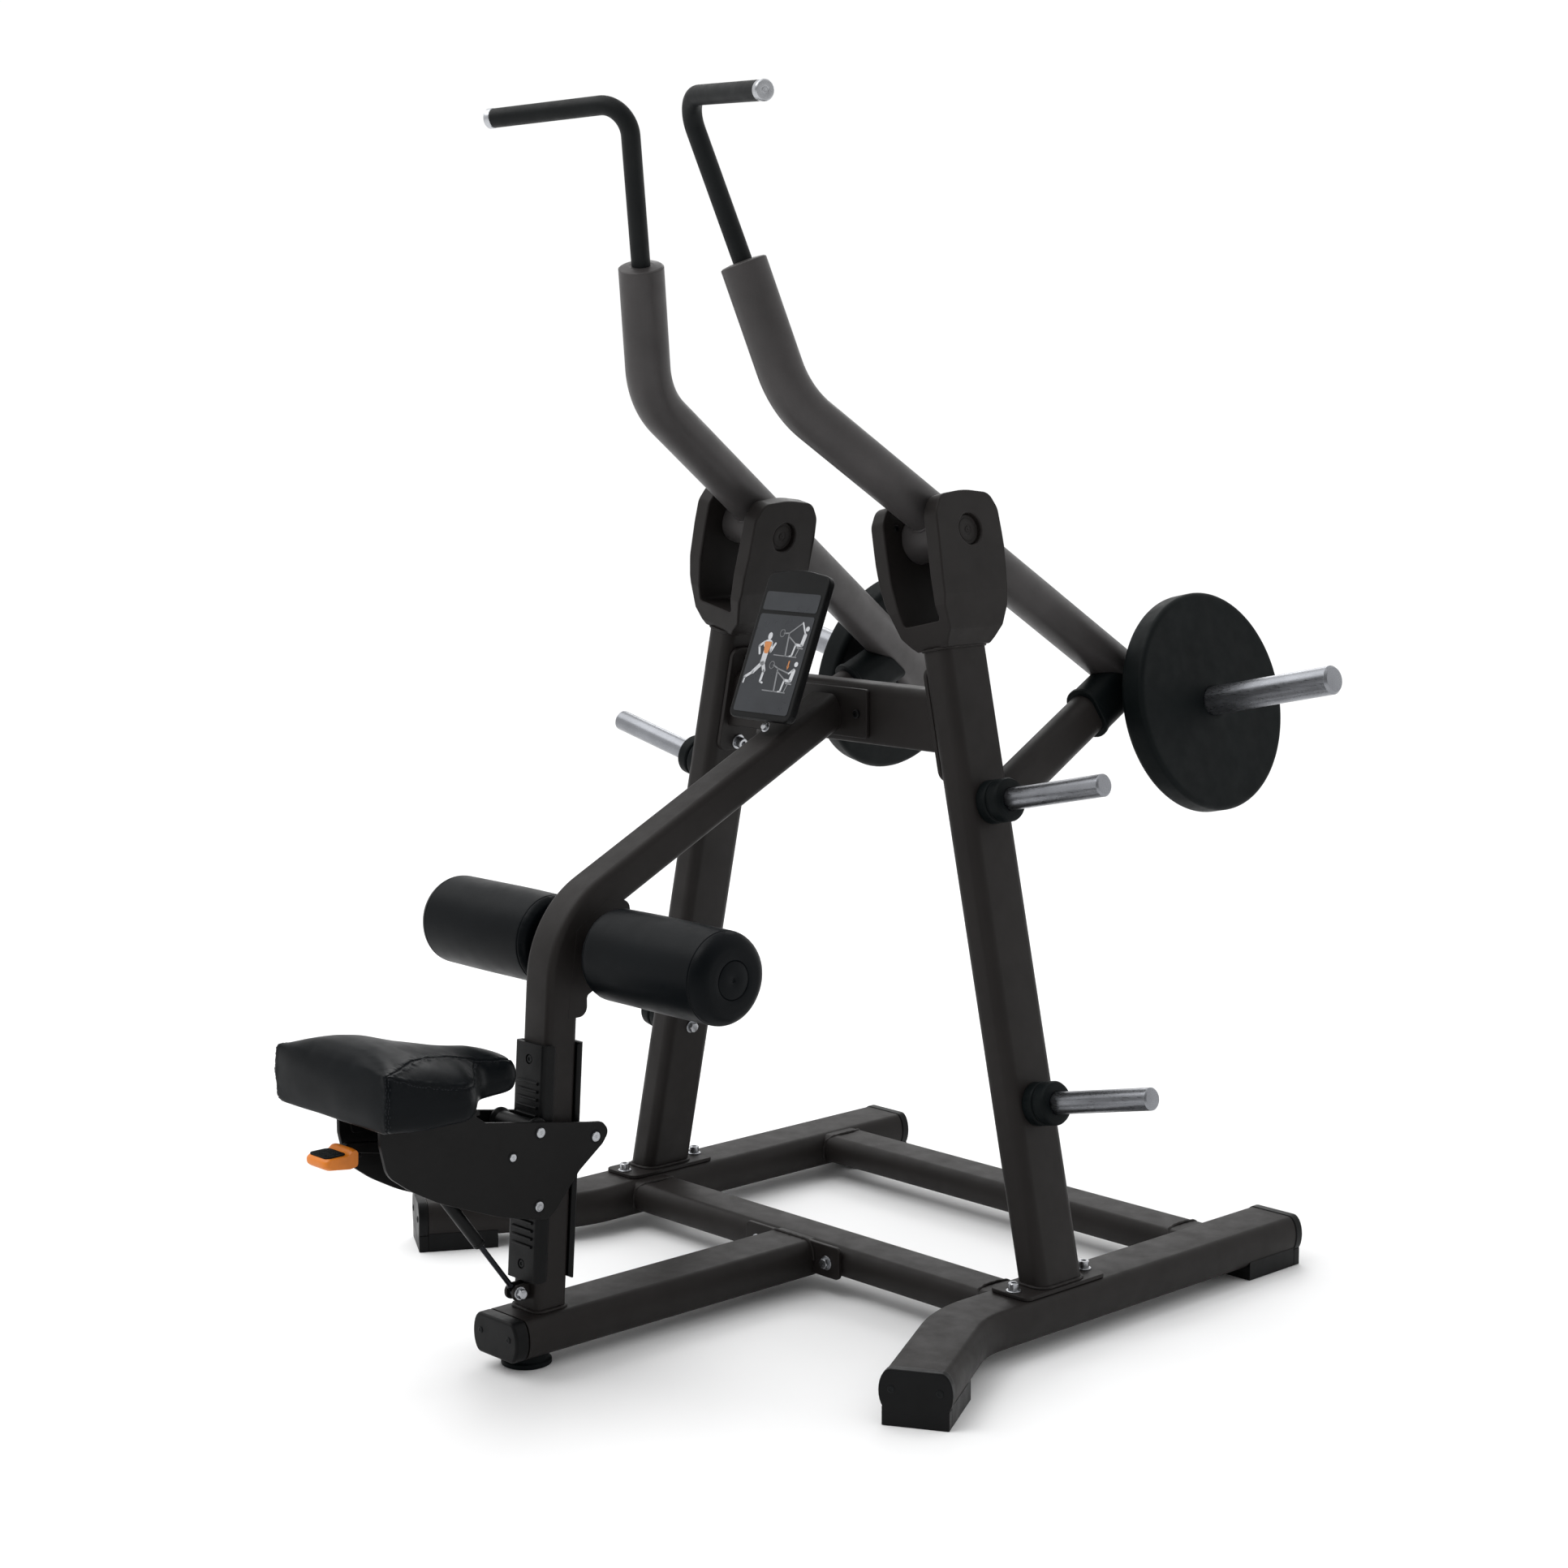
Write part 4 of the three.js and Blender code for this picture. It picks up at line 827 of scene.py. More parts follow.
def seat_post():
    make("post_tube", sweep(post_outline(), post_route()), PAINT, "frame", ["seat_post"], angle=40)
    foot = [(x, POST["foot"][0] + y, POST["foot"][1] + 1.5) for x, y in post_outline(1.5)]
    make("post_foot_weld", weld(along(foot, True)), PAINT, angle=60)
    gusset = prism(rounded(GUSSET["outline"], GUSSET["radii"], 7), GUSSET["inner"], GUSSET["outer"])
    make("roller_gussets", both(gusset), PAINT, bevel=1.4)
    boss = lathe(turned(pipe(14.3, 22, 33, 58), 1), 40)
    make("roller_bosses", both(boss).moved(ROLLER_PLACE), PAINT)
    axle = lathe(turned([(0, -351), (13, -351), (14, -350), (14, 350), (13, 351), (0, 351)], 0), 40)
    make("axle_bar", axle.moved(ROLLER_PLACE), CHROME, "frame", ["roller_axle"])
    y, z = GAS["eye"]
    lug = prism(rounded([(y - 13, z - 13), (-695, z - 13), (-695, z + 13), (y - 13, z + 13)],
                        [12, 0, 0, 12]), 6, 12)
    make("spring_lugs", both(lug), PAINT, bevel=0.8)
    bolt = hex_bolt((12, y, z), (1, 0, 0), 15, 8) + lathe(bar(3.9, -13, 13), 24).moved(move(0, y, z))
    make("spring_bolt", bolt + hex_bolt((-12, y, z), (-1, 0, 0), 13, 6, False), ZINC, bevel=0.4)


def guide_strip(facing):
    """Wear strip along the post: a channel hugging it, with a screw recess at each end and ribs."""
    near, far = POST["depth"] / 2 + 0.3, POST["depth"] / 2 + 10
    bottom, top = 137 / cos(LEAN), 521 / cos(LEAN)
    inner, outer = POST["width"] / 2 + 0.35, POST["width"] / 2 + 3.3
    wrap = GUIDE["front_wrap"] if facing < 0 else GUIDE["rear_wrap"]
    plank = prism(rectangle(-outer, near - wrap, outer, far, 7, 8), bottom, top, "xy")
    hollow = prism(rectangle(-inner, -near - 40, inner, near, 2), bottom - 9, top + 9, "xy")
    corners = []
    reach = 13 if facing < 0 else 8
    for s, sign in ((top, 1), (bottom, -1)):
        block_end = prism(rectangle(near - wrap - 20, -reach, near - wrap + reach, reach), -60, 60)
        bore = lathe(bar(reach, -70, 70), 40)
        block_end = block_end.moved(move(0, 0, s))
        bore = bore.moved(move(0, near - wrap + reach, s - sign * reach))
        corners.append(carved(block_end, [bore]))
    recess = [lathe([(0, far - 2.6), (8, far - 2.6), (8.8, far + 5), (0, far + 5)], 32).moved(
        turn(pi / 2, "Z")).moved(move(0, 0, s)) for s in (top - 26, bottom + 26)]
    body = carved(plank, [hollow] + corners + recess)
    ribs = [top - 62 - k * RIB["pitch"] for k in range(RIB["upper"])]
    ribs += [bottom + 58 + k * RIB["pitch"] for k in range(RIB["lower"])]
    crest = far + RIB["high"]
    bars = total(prism(rounded([(far - 1, s - RIB["root"]), (crest, s - RIB["crest"]),
                                (crest, s + RIB["crest"]),
                                (far - 1, s + RIB["root"])], [0, 1.1, 1.1, 0], 4), -25, 25) for s in ribs)
    heads = total(lathe([(0, far - 2.0), (3.2, far - 2.0, 6), (3.4, far - 0.7, 6), (5.6, far - 0.5),
                         (6.2, far - 1.1),
                         (6.2, far - 3.2), (0, far - 3.2)], 30).moved(turn(pi / 2,
                                                                           "Z")).moved(move(0, 0, s))
                  for s in (top - 26, bottom + 26))
    place = move(0, POST["foot"][0] - POST["foot"][1] * tan(LEAN), 0) @ turn(-LEAN, "X")
    if facing < 0:
        place = place @ turn(pi, "Z")
    return body.moved(place), bars.moved(place), heads.moved(place)


def guides():
    for name, facing in (("front", -1), ("rear", 1)):
        body, bars, heads = guide_strip(facing)
        make(f"guide_strip_{name}", body, PLASTIC, "frame", [f"guide_{name}"], bevel=1.6)
        make(f"guide_ribs_{name}", bars, PLASTIC, bevel=0.5)
        make(f"guide_screws_{name}", heads, GRIP)


# ------------------------------------------------------------------ placard
INK_DEPTH = 0.35


def stroke(points, width):
    """Flat ink stroke with round ends, in the placard's own plane."""
    parts = []
    for (x0, y0), (x1, y1) in zip(points, points[1:]):
        angle = atan2(y1 - y0, x1 - x0)
        ends = arc(x1, y1, width / 2, width / 2, angle - pi / 2, angle + pi / 2, 7)
        ends += arc(x0, y0, width / 2, width / 2, angle + pi / 2, angle + 1.5 * pi, 7)
        parts.append(prism(ends, 0, INK_DEPTH, "xy"))
    return total(parts)


def dot(x, y, radius):
    return prism([(x + a, y + b) for a, b in circle(radius, 24)], 0, INK_DEPTH, "xy")


def limbs(*parts):
    """Strokes given as (width, point, point, ...)."""
    return total(stroke(points, width) for width, *points in parts)


def runner():
    """Running figure: body in light ink and the working muscles in warm ink."""
    head = prism([(-27 + 5 * a, 14 + 6.6 * b) for a, b in circle(1, 28)], 0, INK_DEPTH, "xy")
    body = head + limbs(
        (12, (-26.5, -1), (-27.5, -33)), (15, (-30, 0), (-24, 0)), (4.5, (-36, 3), (-46.5, -5), (-41, -18)),
        (4.5, (-18.5, 2.5), (-16, -13.5), (-9, 1.5)), (7.5, (-28, -34), (-44.5,
                                                                         -51)),
                                                                         (5, (-44.5, -51), (-60, -61)),
        (3.2, (-60, -61), (-61, -71)), (7.5, (-26, -34), (-19, -47)), (5, (-19, -47), (-20.5, -66)),
        (3.2, (-20.5, -67), (-14.5, -68.5)))
    back = prism(rounded([(-36, 4), (-18, 4), (-21, -17), (-31, -17)], [3, 3, 4, 4], 4), 0.3, 0.6, "xy")
    return body, back


def trainer(x, y, hand, plates):
    """Side view of a machine and its seated user."""
    def at(*points):
        return [(x + a, y + b) for a, b in points]
    hoop = [(plates[0] + 5.6 * a, plates[1] + 6.4 * b) for a, b in circle(1, 18)]
    machine = limbs((1.8, *at((-6, -18), (49, -19))), (3.4, *at((22, -18), (17, 19))),
                    (2.2, *at((17, 17), (46, 0))), (2.4, *at((plates[0] + 4, plates[1]), (17, 22), hand)),
                    (1.6, *at(*hoop, hoop[0])), (2.6, *at((45, -2), (58, -3))),
                    (1.8, *at((50, -3), (46, -17))))
    person = dot(*at((57.5, 32))[0], 4.4) + limbs(
        (8, *at((54, 4), (56, 20))), (3.2, *at((55, 23), hand)), (4.6, *at((54, 2), (40, 3))),
        (3.8, *at((40, 3), (37, -16))), (2.4, *at((37, -17), (32, -18))))
    return machine, person


def placard():
    half_w, half_h, depth = PLACARD["width"] / 2, PLACARD["height"] / 2, PLACARD["depth"]
    place = move(0, PLACARD["y"], PLACARD["z"]) @ turn(pi / 2 - PLACARD["tilt"], "X")
    corners = [(-half_w, -half_h), (half_w, -half_h), (half_w, half_h - 6), (0, half_h + 5),
               (-half_w, half_h - 6)]
    shell = rounded(corners, [14, 14, 16, 190, 16], 8)
    make("placard_shell", prism(shell, 0, depth - 0.6, "xy").moved(place), PLASTIC, "frame", ["placard"],
         bevel=3.2)
    face = depth - 0.8
    for name, low, high in (("sheet", -121, 53), ("header", 60, 93)):
        rim = prism(rectangle(-67.2, low - 1.2, 67.2, high + 1.2, 6), face, face + 0.45, "xy")
        panel = prism(rectangle(-66, low, 66, high, 5), face + 0.2, face + 0.8, "xy")
        make(f"placard_{name}_rim", rim.moved(place), PLASTIC, bevel=0.15)
        make(f"placard_{name}", panel.moved(place), PANEL, bevel=0.15)
    lift = move(0, 0, face + 0.8)
    body, back = runner()
    arrow = prism([(33, -35), (39, -35), (36, -42)], 0, INK_DEPTH,
                  "xy") + stroke([(36, -27), (36, -36)], 2.6)
    pairs = [trainer(0, 0, (43, 42), (0.5, 21)), trainer(-3, -63, (46, 15), (0, 27))]
    machines = total(machine for machine, _ in pairs)
    people = body + total(person for _, person in pairs).moved(move(0, 0, 0.15))
    for name, parts, ink in (("people", people, INK), ("machines", machines, INK_GREY),
                             ("muscles", back + arrow, INK_WARM)):
        make(f"placard_{name}", parts.moved(lift).moved(place), ink)
    stem = prism(rectangle(-26, -100, 26, -58, 4), -30, 1, "xy")
    make("placard_stem", stem.moved(place), PAINT, bevel=1.5)
    make("placard_bolt", hex_bolt((0, 0, 0), (0, 0, 1), 11, 5).moved(move(0, -half_h - 7, -8)).moved(place),
         ZINC, bevel=0.4)


# ------------------------------------------------------------------ lever arms
def arm_route():
    elbow, top, horn = (Vector((0, *ARM[key])) for key in ("elbow", "top", "horn"))
    tail = horn + (horn - elbow).normalized() * ARM["tail"]
    return route([tail, elbow, top], [ARM["bend"]], 26)


def handle_rise():
    return (Vector((0, *HANDLE["corner"])) - Vector((0, *ARM["top"]))).normalized()


def handle_route(offset):
    corner = Vector((0, *HANDLE["corner"]))
    end = corner + Vector(HANDLE["grip"]) * HANDLE["length"]
    return route([Vector((0, *ARM["top"])) + handle_rise() * offset, corner, end], [HANDLE["bend"]],
                 20)


def hub_seam():
    """Where the hub's cylinder meets the arm tube, all the way round."""
    elbow, horn = Vector(ARM["elbow"]), Vector(ARM["horn"])
    along_arm = (elbow - horn).normalized()
    normal = Vector((-along_arm.y, along_arm.x))
    if normal.y < 0:
        normal = -normal
    offset = horn.dot(normal)
    low = asin((offset - ARM["radius"]) / ARM["hub"])
    upper, lower = [], []
    for k in range(33):
        a = low + (pi - 2 * low) * k / 32
        spot = normal * sin(a) * ARM["hub"] + along_arm * cos(a) * ARM["hub"]
        away = spot.dot(normal) - offset
        w = sqrt(max(0, ARM["radius"] ** 2 - away ** 2))
        upper.append((w, spot.x, spot.y))
        lower.append((-w, spot.x, spot.y))
    return upper + lower[-2:0:-1]


def lever_arms():
    stations = arm_route()
    shaved = [stations[0]] + stations
    shaved[1] = (stations[0][0] + stations[0][1] * 2.5, stations[0][1])
    sizes = {0: (ARM["radius"] - 2.5) / ARM["radius"]}
    tube = sweep(circle(ARM["radius"], 72), shaved, grow=lambda i: sizes.get(i, 1.0))
    pair("arm_tube", pivoted(tube), ARM_PAINT, "arm_", ["arm_"], angle=50)
    hub = lathe(turned(pipe(19.3, ARM["hub"], -ARM["hub_half"], ARM["hub_half"]), 1.6), 64)
    pair("arm_hub", pivoted(hub), ARM_PAINT, "arm_")
    pair("arm_weld", pivoted(weld(along(hub_seam(), True), 3)), ARM_PAINT, "arm_", angle=60)
    r = ARM["radius"]
    end = lathe(turned([(0, -4), (r - 0.6, -4), (r - 0.6, 0.8), (r - 3.5, 2.6), (HANDLE["sleeve"] + 5, 4.6),
                        (HANDLE["sleeve"] + 1.5, 4.2), (0, 4.2)], 0.8), 72)
    pair("arm_end_plug", pivoted(end.moved(aim(handle_rise(), (0, *ARM["top"])))), ARM_PAINT, "arm_")
    bush = lathe(turned(pipe(15.5, 24, -45.4, -46.4), 0.2), 48)
    liner = lathe(pipe(15.5, 18.9, -45.4, 45.4), 48)
    pair("bush_liner", pivoted(liner + both(bush)), ZINC, "arm_", ["pivot_bush_"])


def handles():
    stations = handle_route(4.0)
    heading = stations[-1][1]
    sleeve = sweep(circle(HANDLE["sleeve"], 56), stations)
    pair("handle_sleeve", pivoted(sleeve), GRIP, "arm_", ["grip_sleeve_"], bevel=0.8, angle=50)
    r = HANDLE["sleeve"] + 0.6
    profile = [(0, -0.5), (r - 1.2, -0.5), (r, 0.8), (r, 9.5), (r - 2, 12), (6, 12), (5.6, 11.3),
               (4.9, 11.3), (4.5, 12),
               (2.4, 12), (1.6, 10.8), (0, 10.8)]
    cap = lathe(turned(profile, 0.5, 3), 56).moved(aim(heading, stations[-1][0]))
    pair("handle_cap", pivoted(cap), ZINC, "arm_", ["grip_cap_"])


def weight_discs():
    r, inner, outer = DISC["radius"], DISC["inner"], DISC["outer"]
    hole = HORN["radius"] + 0.4
    rim = [(hole, inner), (r - 13, inner)] + [(x, y) for x, y in arc(r - 13, inner + 13, 13, 13, -1.35, 0,
                                                                     8)]
    rim += arc(r - 9, outer - 9, 9, 9, 0, 1.45, 8) + [(r - 12, outer - 0.1), (r - 22, outer - 0.6)]
    rim += [(60, outer - 0.9), (34, outer - 0.6), (29, outer + 0.2), (hole, outer - 1.5), (hole, inner)]
    disc = lathe(rim, 128).moved(move(0, *ARM["horn"]))
    pair("plate_stop_disc", pivoted(disc), RUBBER, "arm_", ["guard_disc_"], angle=40)
    tip = HORN["tip"]
    shaft = [(0, 30), (HORN["boss"], 30), (HORN["boss"], inner - 0.4), (HORN["radius"], inner - 0.4),
             (HORN["radius"], tip - 5), (HORN["radius"] - 4, tip), (0, tip)]
    horn = lathe(turned(shaft, 1.1, 3), 64).moved(move(0, *ARM["horn"]))
    pair("plate_horn", pivoted(horn), STEEL, "arm_", ["load_horn_"])
    bead = []
    for k in range(48):
        a = 2 * pi * k / 48
        slope = atan2(ARM["elbow"][1] - ARM["horn"][1], ARM["elbow"][0] - ARM["horn"][0])
        y, v = HORN["boss"] * cos(a), HORN["boss"] * sin(a)
        off = -y * sin(slope) + v * cos(slope)
        w = sqrt(max(ARM["radius"] ** 2 - off ** 2, 20 ** 2))
        bead.append((w + 0.5, y + ARM["horn"][0], v + ARM["horn"][1]))
    pair("horn_weld", pivoted(weld(along(bead, True), 2.6)), ARM_PAINT, "arm_", angle=60)


# ------------------------------------------------------------------ thigh rollers
def roller_radius(x, turn_angle):
    """Foam under vinyl: full in the middle, drawn in at the ends with small gathers."""
    r, inner, outer = ROLLER["radius"] - 0.9, ROLLER["inner"], ROLLER["outer"]
    reach_in, reach_out = 19.0, 27.0
    near = (x - inner) / reach_in
    far = (outer - x) / reach_out
    fall = 0.0
    if near < 1:
        fall += reach_in * (1 - sqrt(max(0, 1 - (1 - near) ** 2)))
    if far < 1:
        fall += reach_out * (1 - sqrt(max(0, 1 - (1 - far) ** 2)))
    gather = 0.35 * sin(turn_angle * 23) + 0.25 * sin(turn_angle * 41 + 1.3)
    pull = max(0.0, 1 - near * 0.8) if near < 1.25 else 0.0
    soft = 0.45 * sin(turn_angle * 3 + x * 0.021) + 0.3 * sin(turn_angle * 5 - x * 0.034)
    swell = 0.9 * sin(pi * (x - inner) / (outer - inner))
    seam = 1.1 * exp(-((x - (outer - 24)) / 1.1) ** 2) + 1.0 * exp(-((x - (inner + 15)) / 1.1) ** 2)
    return r - fall + gather * pull + soft * 0.5 + swell - seam


def thigh_rollers():
    inner, outer = ROLLER["inner"], ROLLER["outer"]
    near = [inner + 19 * (1 - cos(pi * k / 24)) for k in range(12)]
    fine_in = [inner + 12.5 + 0.42 * k for k in range(13)]
    middle = list(np.linspace(inner + 20, outer - 30, 34))
    fine_out = [outer - 27.5 + 0.42 * k for k in range(18)]
    far = [outer - 27 * (1 - sin(pi * k / 28)) * 0.97 for k in range(3, 14)]
    stops = sorted(set(round(x, 3) for x in near + fine_in + middle + fine_out + far))
    steps, rings = 180, []
    axle = ROLLER_BORE

    def ring(x, radius_at):
        spots = []
        for k in range(steps):
            a = 2 * pi * k / steps
            spots.append((x, radius_at(a) * cos(a), radius_at(a) * sin(a)))
        return spots

    rings.append(ring(inner + 6, lambda a: axle))
    rings.append(ring(inner + 1.5, lambda a: axle + 1.5))
    for radius, x in ((24, inner + 0.2), (40, inner)):
        rings.append(ring(x, lambda a, radius=radius: radius + 0.25 * sin(23 * a)))
    rings += [ring(x, lambda a, x=x: roller_radius(x, a)) for x in stops if x > inner + 0.01]
    last = roller_radius(stops[-1], 0.0)
    for radius, x in ((last - 5, outer - 0.2), (42, outer), (33, outer - 0.1), (31.4, outer - 0.6),
                      (30.6, outer - 2.1),
                      (29.8, outer - 0.7), (28.8, outer - 0.1), (14, outer), (4.2, outer - 0.05),
                      (3.2, outer - 0.5),
                      (2.6, outer - 1.8), (0.01, outer - 1.9)):
        rings.append(ring(x, lambda a, radius=radius: radius))
    shape = loft(rings, capped=False).moved(ROLLER_PLACE)
    for side, form in (("right", shape), ("left", shape.mirrored())):
        piece = make(f"roller_cushion_{side}", form, VINYL, f"thigh_roller_{side}",
                     [f"thigh_roller_{side}"],
                     angle=60)
    retainer = lathe(turned(pipe(14.6, 30, inner - 4, inner - 0.4), 0.8), 48)
    pair("roller_washer", retainer.moved(ROLLER_PLACE), PLASTIC)


# ------------------------------------------------------------------ seat carriage
def plate_outline():
    corners = [(-1026, 452), (-1026, 428), (-1014, 378), (-969, 345), (-920, 318), (-870, 298), (-800, 271),
               (-735, 254), (-706, 249), (-690, 262), (-643, 316), (-594, 352), (-580, 371), (-594, 388),
               (-622, 392), (-828, 428), (-860, 452)]
    radii = [2, 30, 40, 200, 260, 260, 260, 60, 20, 12, 60, 20, 14, 14, 10, 10, 4]
    return rounded(corners, radii, 8)


def roller_axis(facing, z, radius):
    reach = (POST["depth"] / 2 + 10.3 + radius) / cos(LEAN)
    return POST["foot"][0] + (z - POST["foot"][1]) * tan(LEAN) + facing * reach, z


def carriage_pins():
    return {"rear": roller_axis(1, 366, 14), "lower": roller_axis(-1, 274, 14),
            "upper": roller_axis(-1, 393, 17), "lever": LEVER["pivot"]}


def carriage():
    plate = prism(plate_outline(), CARRIAGE["inner"], CARRIAGE["outer"])
    pair("side_plate", plate, UNDER_SEAT_SHADE_PAINT, "seat", ["carriage_plate_"], bevel=1.3, angle=35)
    far = CARRIAGE["outer"]
    for name, spot in carriage_pins().items():
        radius = 6.4 if name == "lever" else 8.2
        ring = lathe([(radius + 0.4, far - 0.1), (radius + 3.4, far - 0.1), (radius + 2.8, far + 0.7),
                      (radius + 0.8, far + 0.7), (radius + 0.4, far - 0.1)], 40)
        head = lathe(turned([(0, far - 2), (radius, far - 2), (radius, far + 1.6), (radius - 1, far + 2.4),
                             (2.2, far + 2.4), (1.6, far + 1.6), (0, far + 1.6)], 0.4, 3), 40)
        place = move(0, *spot)
        pair(f"pin_washer_{name}", ring.moved(place), PLASTIC, "seat")
        pair(f"pin_head_{name}", head.moved(place), ZINC, "seat")
    tray = prism(rectangle(TRAY["rear"], TRAY["bottom"], TRAY["front"], TRAY["top"], 2), -TRAY["half"],
                 TRAY["half"])
    make("pad_tray", tray, UNDER_SEAT_SHADE_PAINT, "seat", ["pad_bracket"], bevel=1)
    web = prism(rounded([(-1005, 424), (-880, 424), (-868, 453), (-1012, 453)], [8, 8, 0, 0]), 44.7, 49.6)
    pair("tray_web", web, UNDER_SEAT_SHADE_PAINT, "seat", bevel=0.8)
    screws = total(hex_bolt((x, y, TRAY["bottom"]), (0, 0, -1), 13,
                            6) for x in (-25, 25) for y in (-985, -895))
    make("tray_bolts", screws, ZINC, "seat", bevel=0.4)


def roller_wheel(radius, flange):
    """Moulded roller: barrel, end rims and a waist, on a steel axle."""
    half = 49.3
    rim = radius + flange
    side = [(7, half), (rim - 1.5, half), (rim, half - 1.5)]
    if flange:
        side += [(rim, 44.5), (radius + 1.5, 40.5), (radius, 39)]
    else:
        side += [(rim, 42), (radius - 2.2, 40.5)]
    side += [(radius - (0 if flange else 2.2), 31), (radius, 29.5), (radius, 8)]
    mirror = [(r, -x) for r, x in side][::-1]
    return lathe(turned(side + mirror + [side[0]], 0.7, 3), 56)


def guide_rollers():
    for name, spot in carriage_pins().items():
        if name == "lever":
            continue
        upper = name == "upper"
        wheel = roller_wheel(17 if upper else 14, 5 if upper else 0).moved(move(0, *spot))
        make(f"roller_wheel_{name}", wheel, PLASTIC, f"guide_roller_{name}", [f"guide_roller_{name}"],
             angle=40)
        axle = lathe(bar(5.9, -57, 57), 32).moved(move(0, *spot))
        make(f"roller_axle_{name}", axle, CHROME, f"guide_roller_{name}")


def latch_lever():
    py, pz = LEVER["pivot"]
    outline = [(py - 10, pz - 10), (py + 14, pz - 8), (py + 44, pz + 2), (py + 44, pz + 14),
               (py + 6, pz + 15),
               (-1034, 419), (-1034, 403), (-1020, 401)]
    strip = prism(rounded(outline, [8, 12, 3, 3, 20, 6, 3, 10]), -32, -22)
    tongue = prism(rectangle(-31.5, -1069, 11.5, -1028, 2), 403.3, 408.7, "xy")
    make("lever_bar", strip + tongue, UNDER_SEAT_SHADE_PAINT, "latch_lever", ["adjust_lever"], bevel=0.9)
    sleeve = lathe(turned([(0, -55.4), (5.8, -55.4), (5.8, -32.2), (11, -32.2), (11, 45.6), (5.8, 45.6),
                           (5.8, 55.4),
                           (0, 55.4)], 0.6), 40)
    make("lever_sleeve", sleeve.moved(move(0, py, pz)), ZINC, "latch_lever")
    grip()


def grip_section(x):
    """Side outline of the lever's paddle at x: thick and round at the tip, thinner at its edges."""
    edge = 1 - max(0.0, (abs(x) - 17) / 11.2) ** 2
    lift = 2.0 * (1 - edge)
    tip = LEVER["tip"] + 5.5 * (1 - sqrt(max(0.0, edge)))
    return [(tip + 8, 396 + lift), (-1060, 391.5 + lift), (-1047, 394 + lift), (-1046, 417 - lift * 0.5),
            (-1049, 423 - lift), (-1056, 422.5 - lift), (-1063, 416.3 - lift), (tip + 6, 416 - lift),
            (tip, 411 - lift * 0.6), (tip, 401 + lift * 0.6)]


def grip():
    stations = [-28.1, -27.4, -25.6, -22.5, -18, -9, 0, 9, 18, 22.5, 25.6, 27.4, 28.1]
    radii = [10, 14, 5, 5, 6, 8, 12, 8, 6, 6]
    rings = [[(x, y, z) for y, z in rounded(grip_section(x), radii, 5)] for x in stations]
    paddle = loft(rings)
    make("grip_paddle", paddle, ORANGE, "latch_lever", ["lever_grip"], bevel=1.2, angle=38)
    pad = prism(rectangle(-24.5, -1101, 24.5, -1064, 8), 415.0, 417.6, "xy")
    ribs = total(prism(rectangle(-18, y - 1, 18, y + 1, 0.9, 3), 417.3, 418.2,
                       "xy") for y in range(-1096, -1068, 5))
    make("grip_inlay", pad, RUBBER, "latch_lever", bevel=0.8)
    make("grip_ribs", ribs, RUBBER, "latch_lever", bevel=0.3)


def gas_spring():
    eye, top = Vector((0, *GAS["eye"])), Vector((0, *GAS["top"]))
    length = (top - eye).length
    place = aim(top - eye, eye)
    mouth, r = GAS["mouth"] * length, GAS["radius"]
    body = [(GAS["rod"] + 0.3, mouth + 2), (GAS["rod"] + 1.2, mouth), (r - 1.2, mouth), (r, mouth + 1.2),
            (r, mouth + 7), (r - 0.7, mouth + 8), (r - 0.7, mouth + 9.4), (r, mouth + 10.4),
            (r, length - 17),
            (r - 2, length - 12), (7, length - 10), (7, length + 6), (0, length + 6)]
    make("spring_barrel", lathe(turned(body, 0.5, 3), 48).moved(place), PLASTIC, "gas_cylinder",
         ["gas_cylinder"])
    rod = lathe(turned([(0, 8), (6.4, 8), (6.4, 17), (4.6, 18.5), (GAS["rod"], 19),
                        (GAS["rod"], GAS["tip"] * length),
                        (0, GAS["tip"] * length)], 0.3, 2), 36).moved(place)
    ring = lathe(turned(pipe(4.4, 9, -4.8, 4.8), 0.5), 40).moved(move(*eye))
    make("spring_rod", rod + ring, DARK_STEEL, "gas_rod", ["gas_rod"])


# ------------------------------------------------------------------ seat pad
def ease(start, end, value):
    t = min(1.0, max(0.0, (value - start) / (end - start)))
    return t * t * (3 - 2 * t)


def squeeze(amount, power):
    """How much of a full section is left as amount goes from 0 to 1 over a round end."""
    return (1 - min(1.0, max(0.0, amount)) ** power) ** (1 / power)


def pad_half(y):
    half = PAD["wide"] + (PAD["narrow"] - PAD["wide"]) * ease(-932, -824, y)
    return half * squeeze((y - PAD["tip"] + 46) / 46, 2.5)


def pad_edge(y):
    return float(np.interp(y, [-1078, -1033, -988, -958, -926, -872, -800, -745],
                           [562, 543, 530, 524, 518, 516, 513, 507]))


def pad_crown(y):
    return float(np.interp(y, [-1078, -1068, -1052, -1028, -993, -937, -872, -817, -789, -760, -745],
                           [563, 575, 583, 585, 580, 562, 546, 538, 530, 519, 512]))


def pad_bottom(y):
    return float(np.interp(y, [-1078, -1000, -900, -745], [470, 461.5, 462, 467]))


def pad_top(x, y, half):
    share = min(1.0, abs(x) / max(half, 1.0))
    return pad_edge(y) + (pad_crown(y) - pad_edge(y)) * (1 - share ** 2.3) ** 0.85


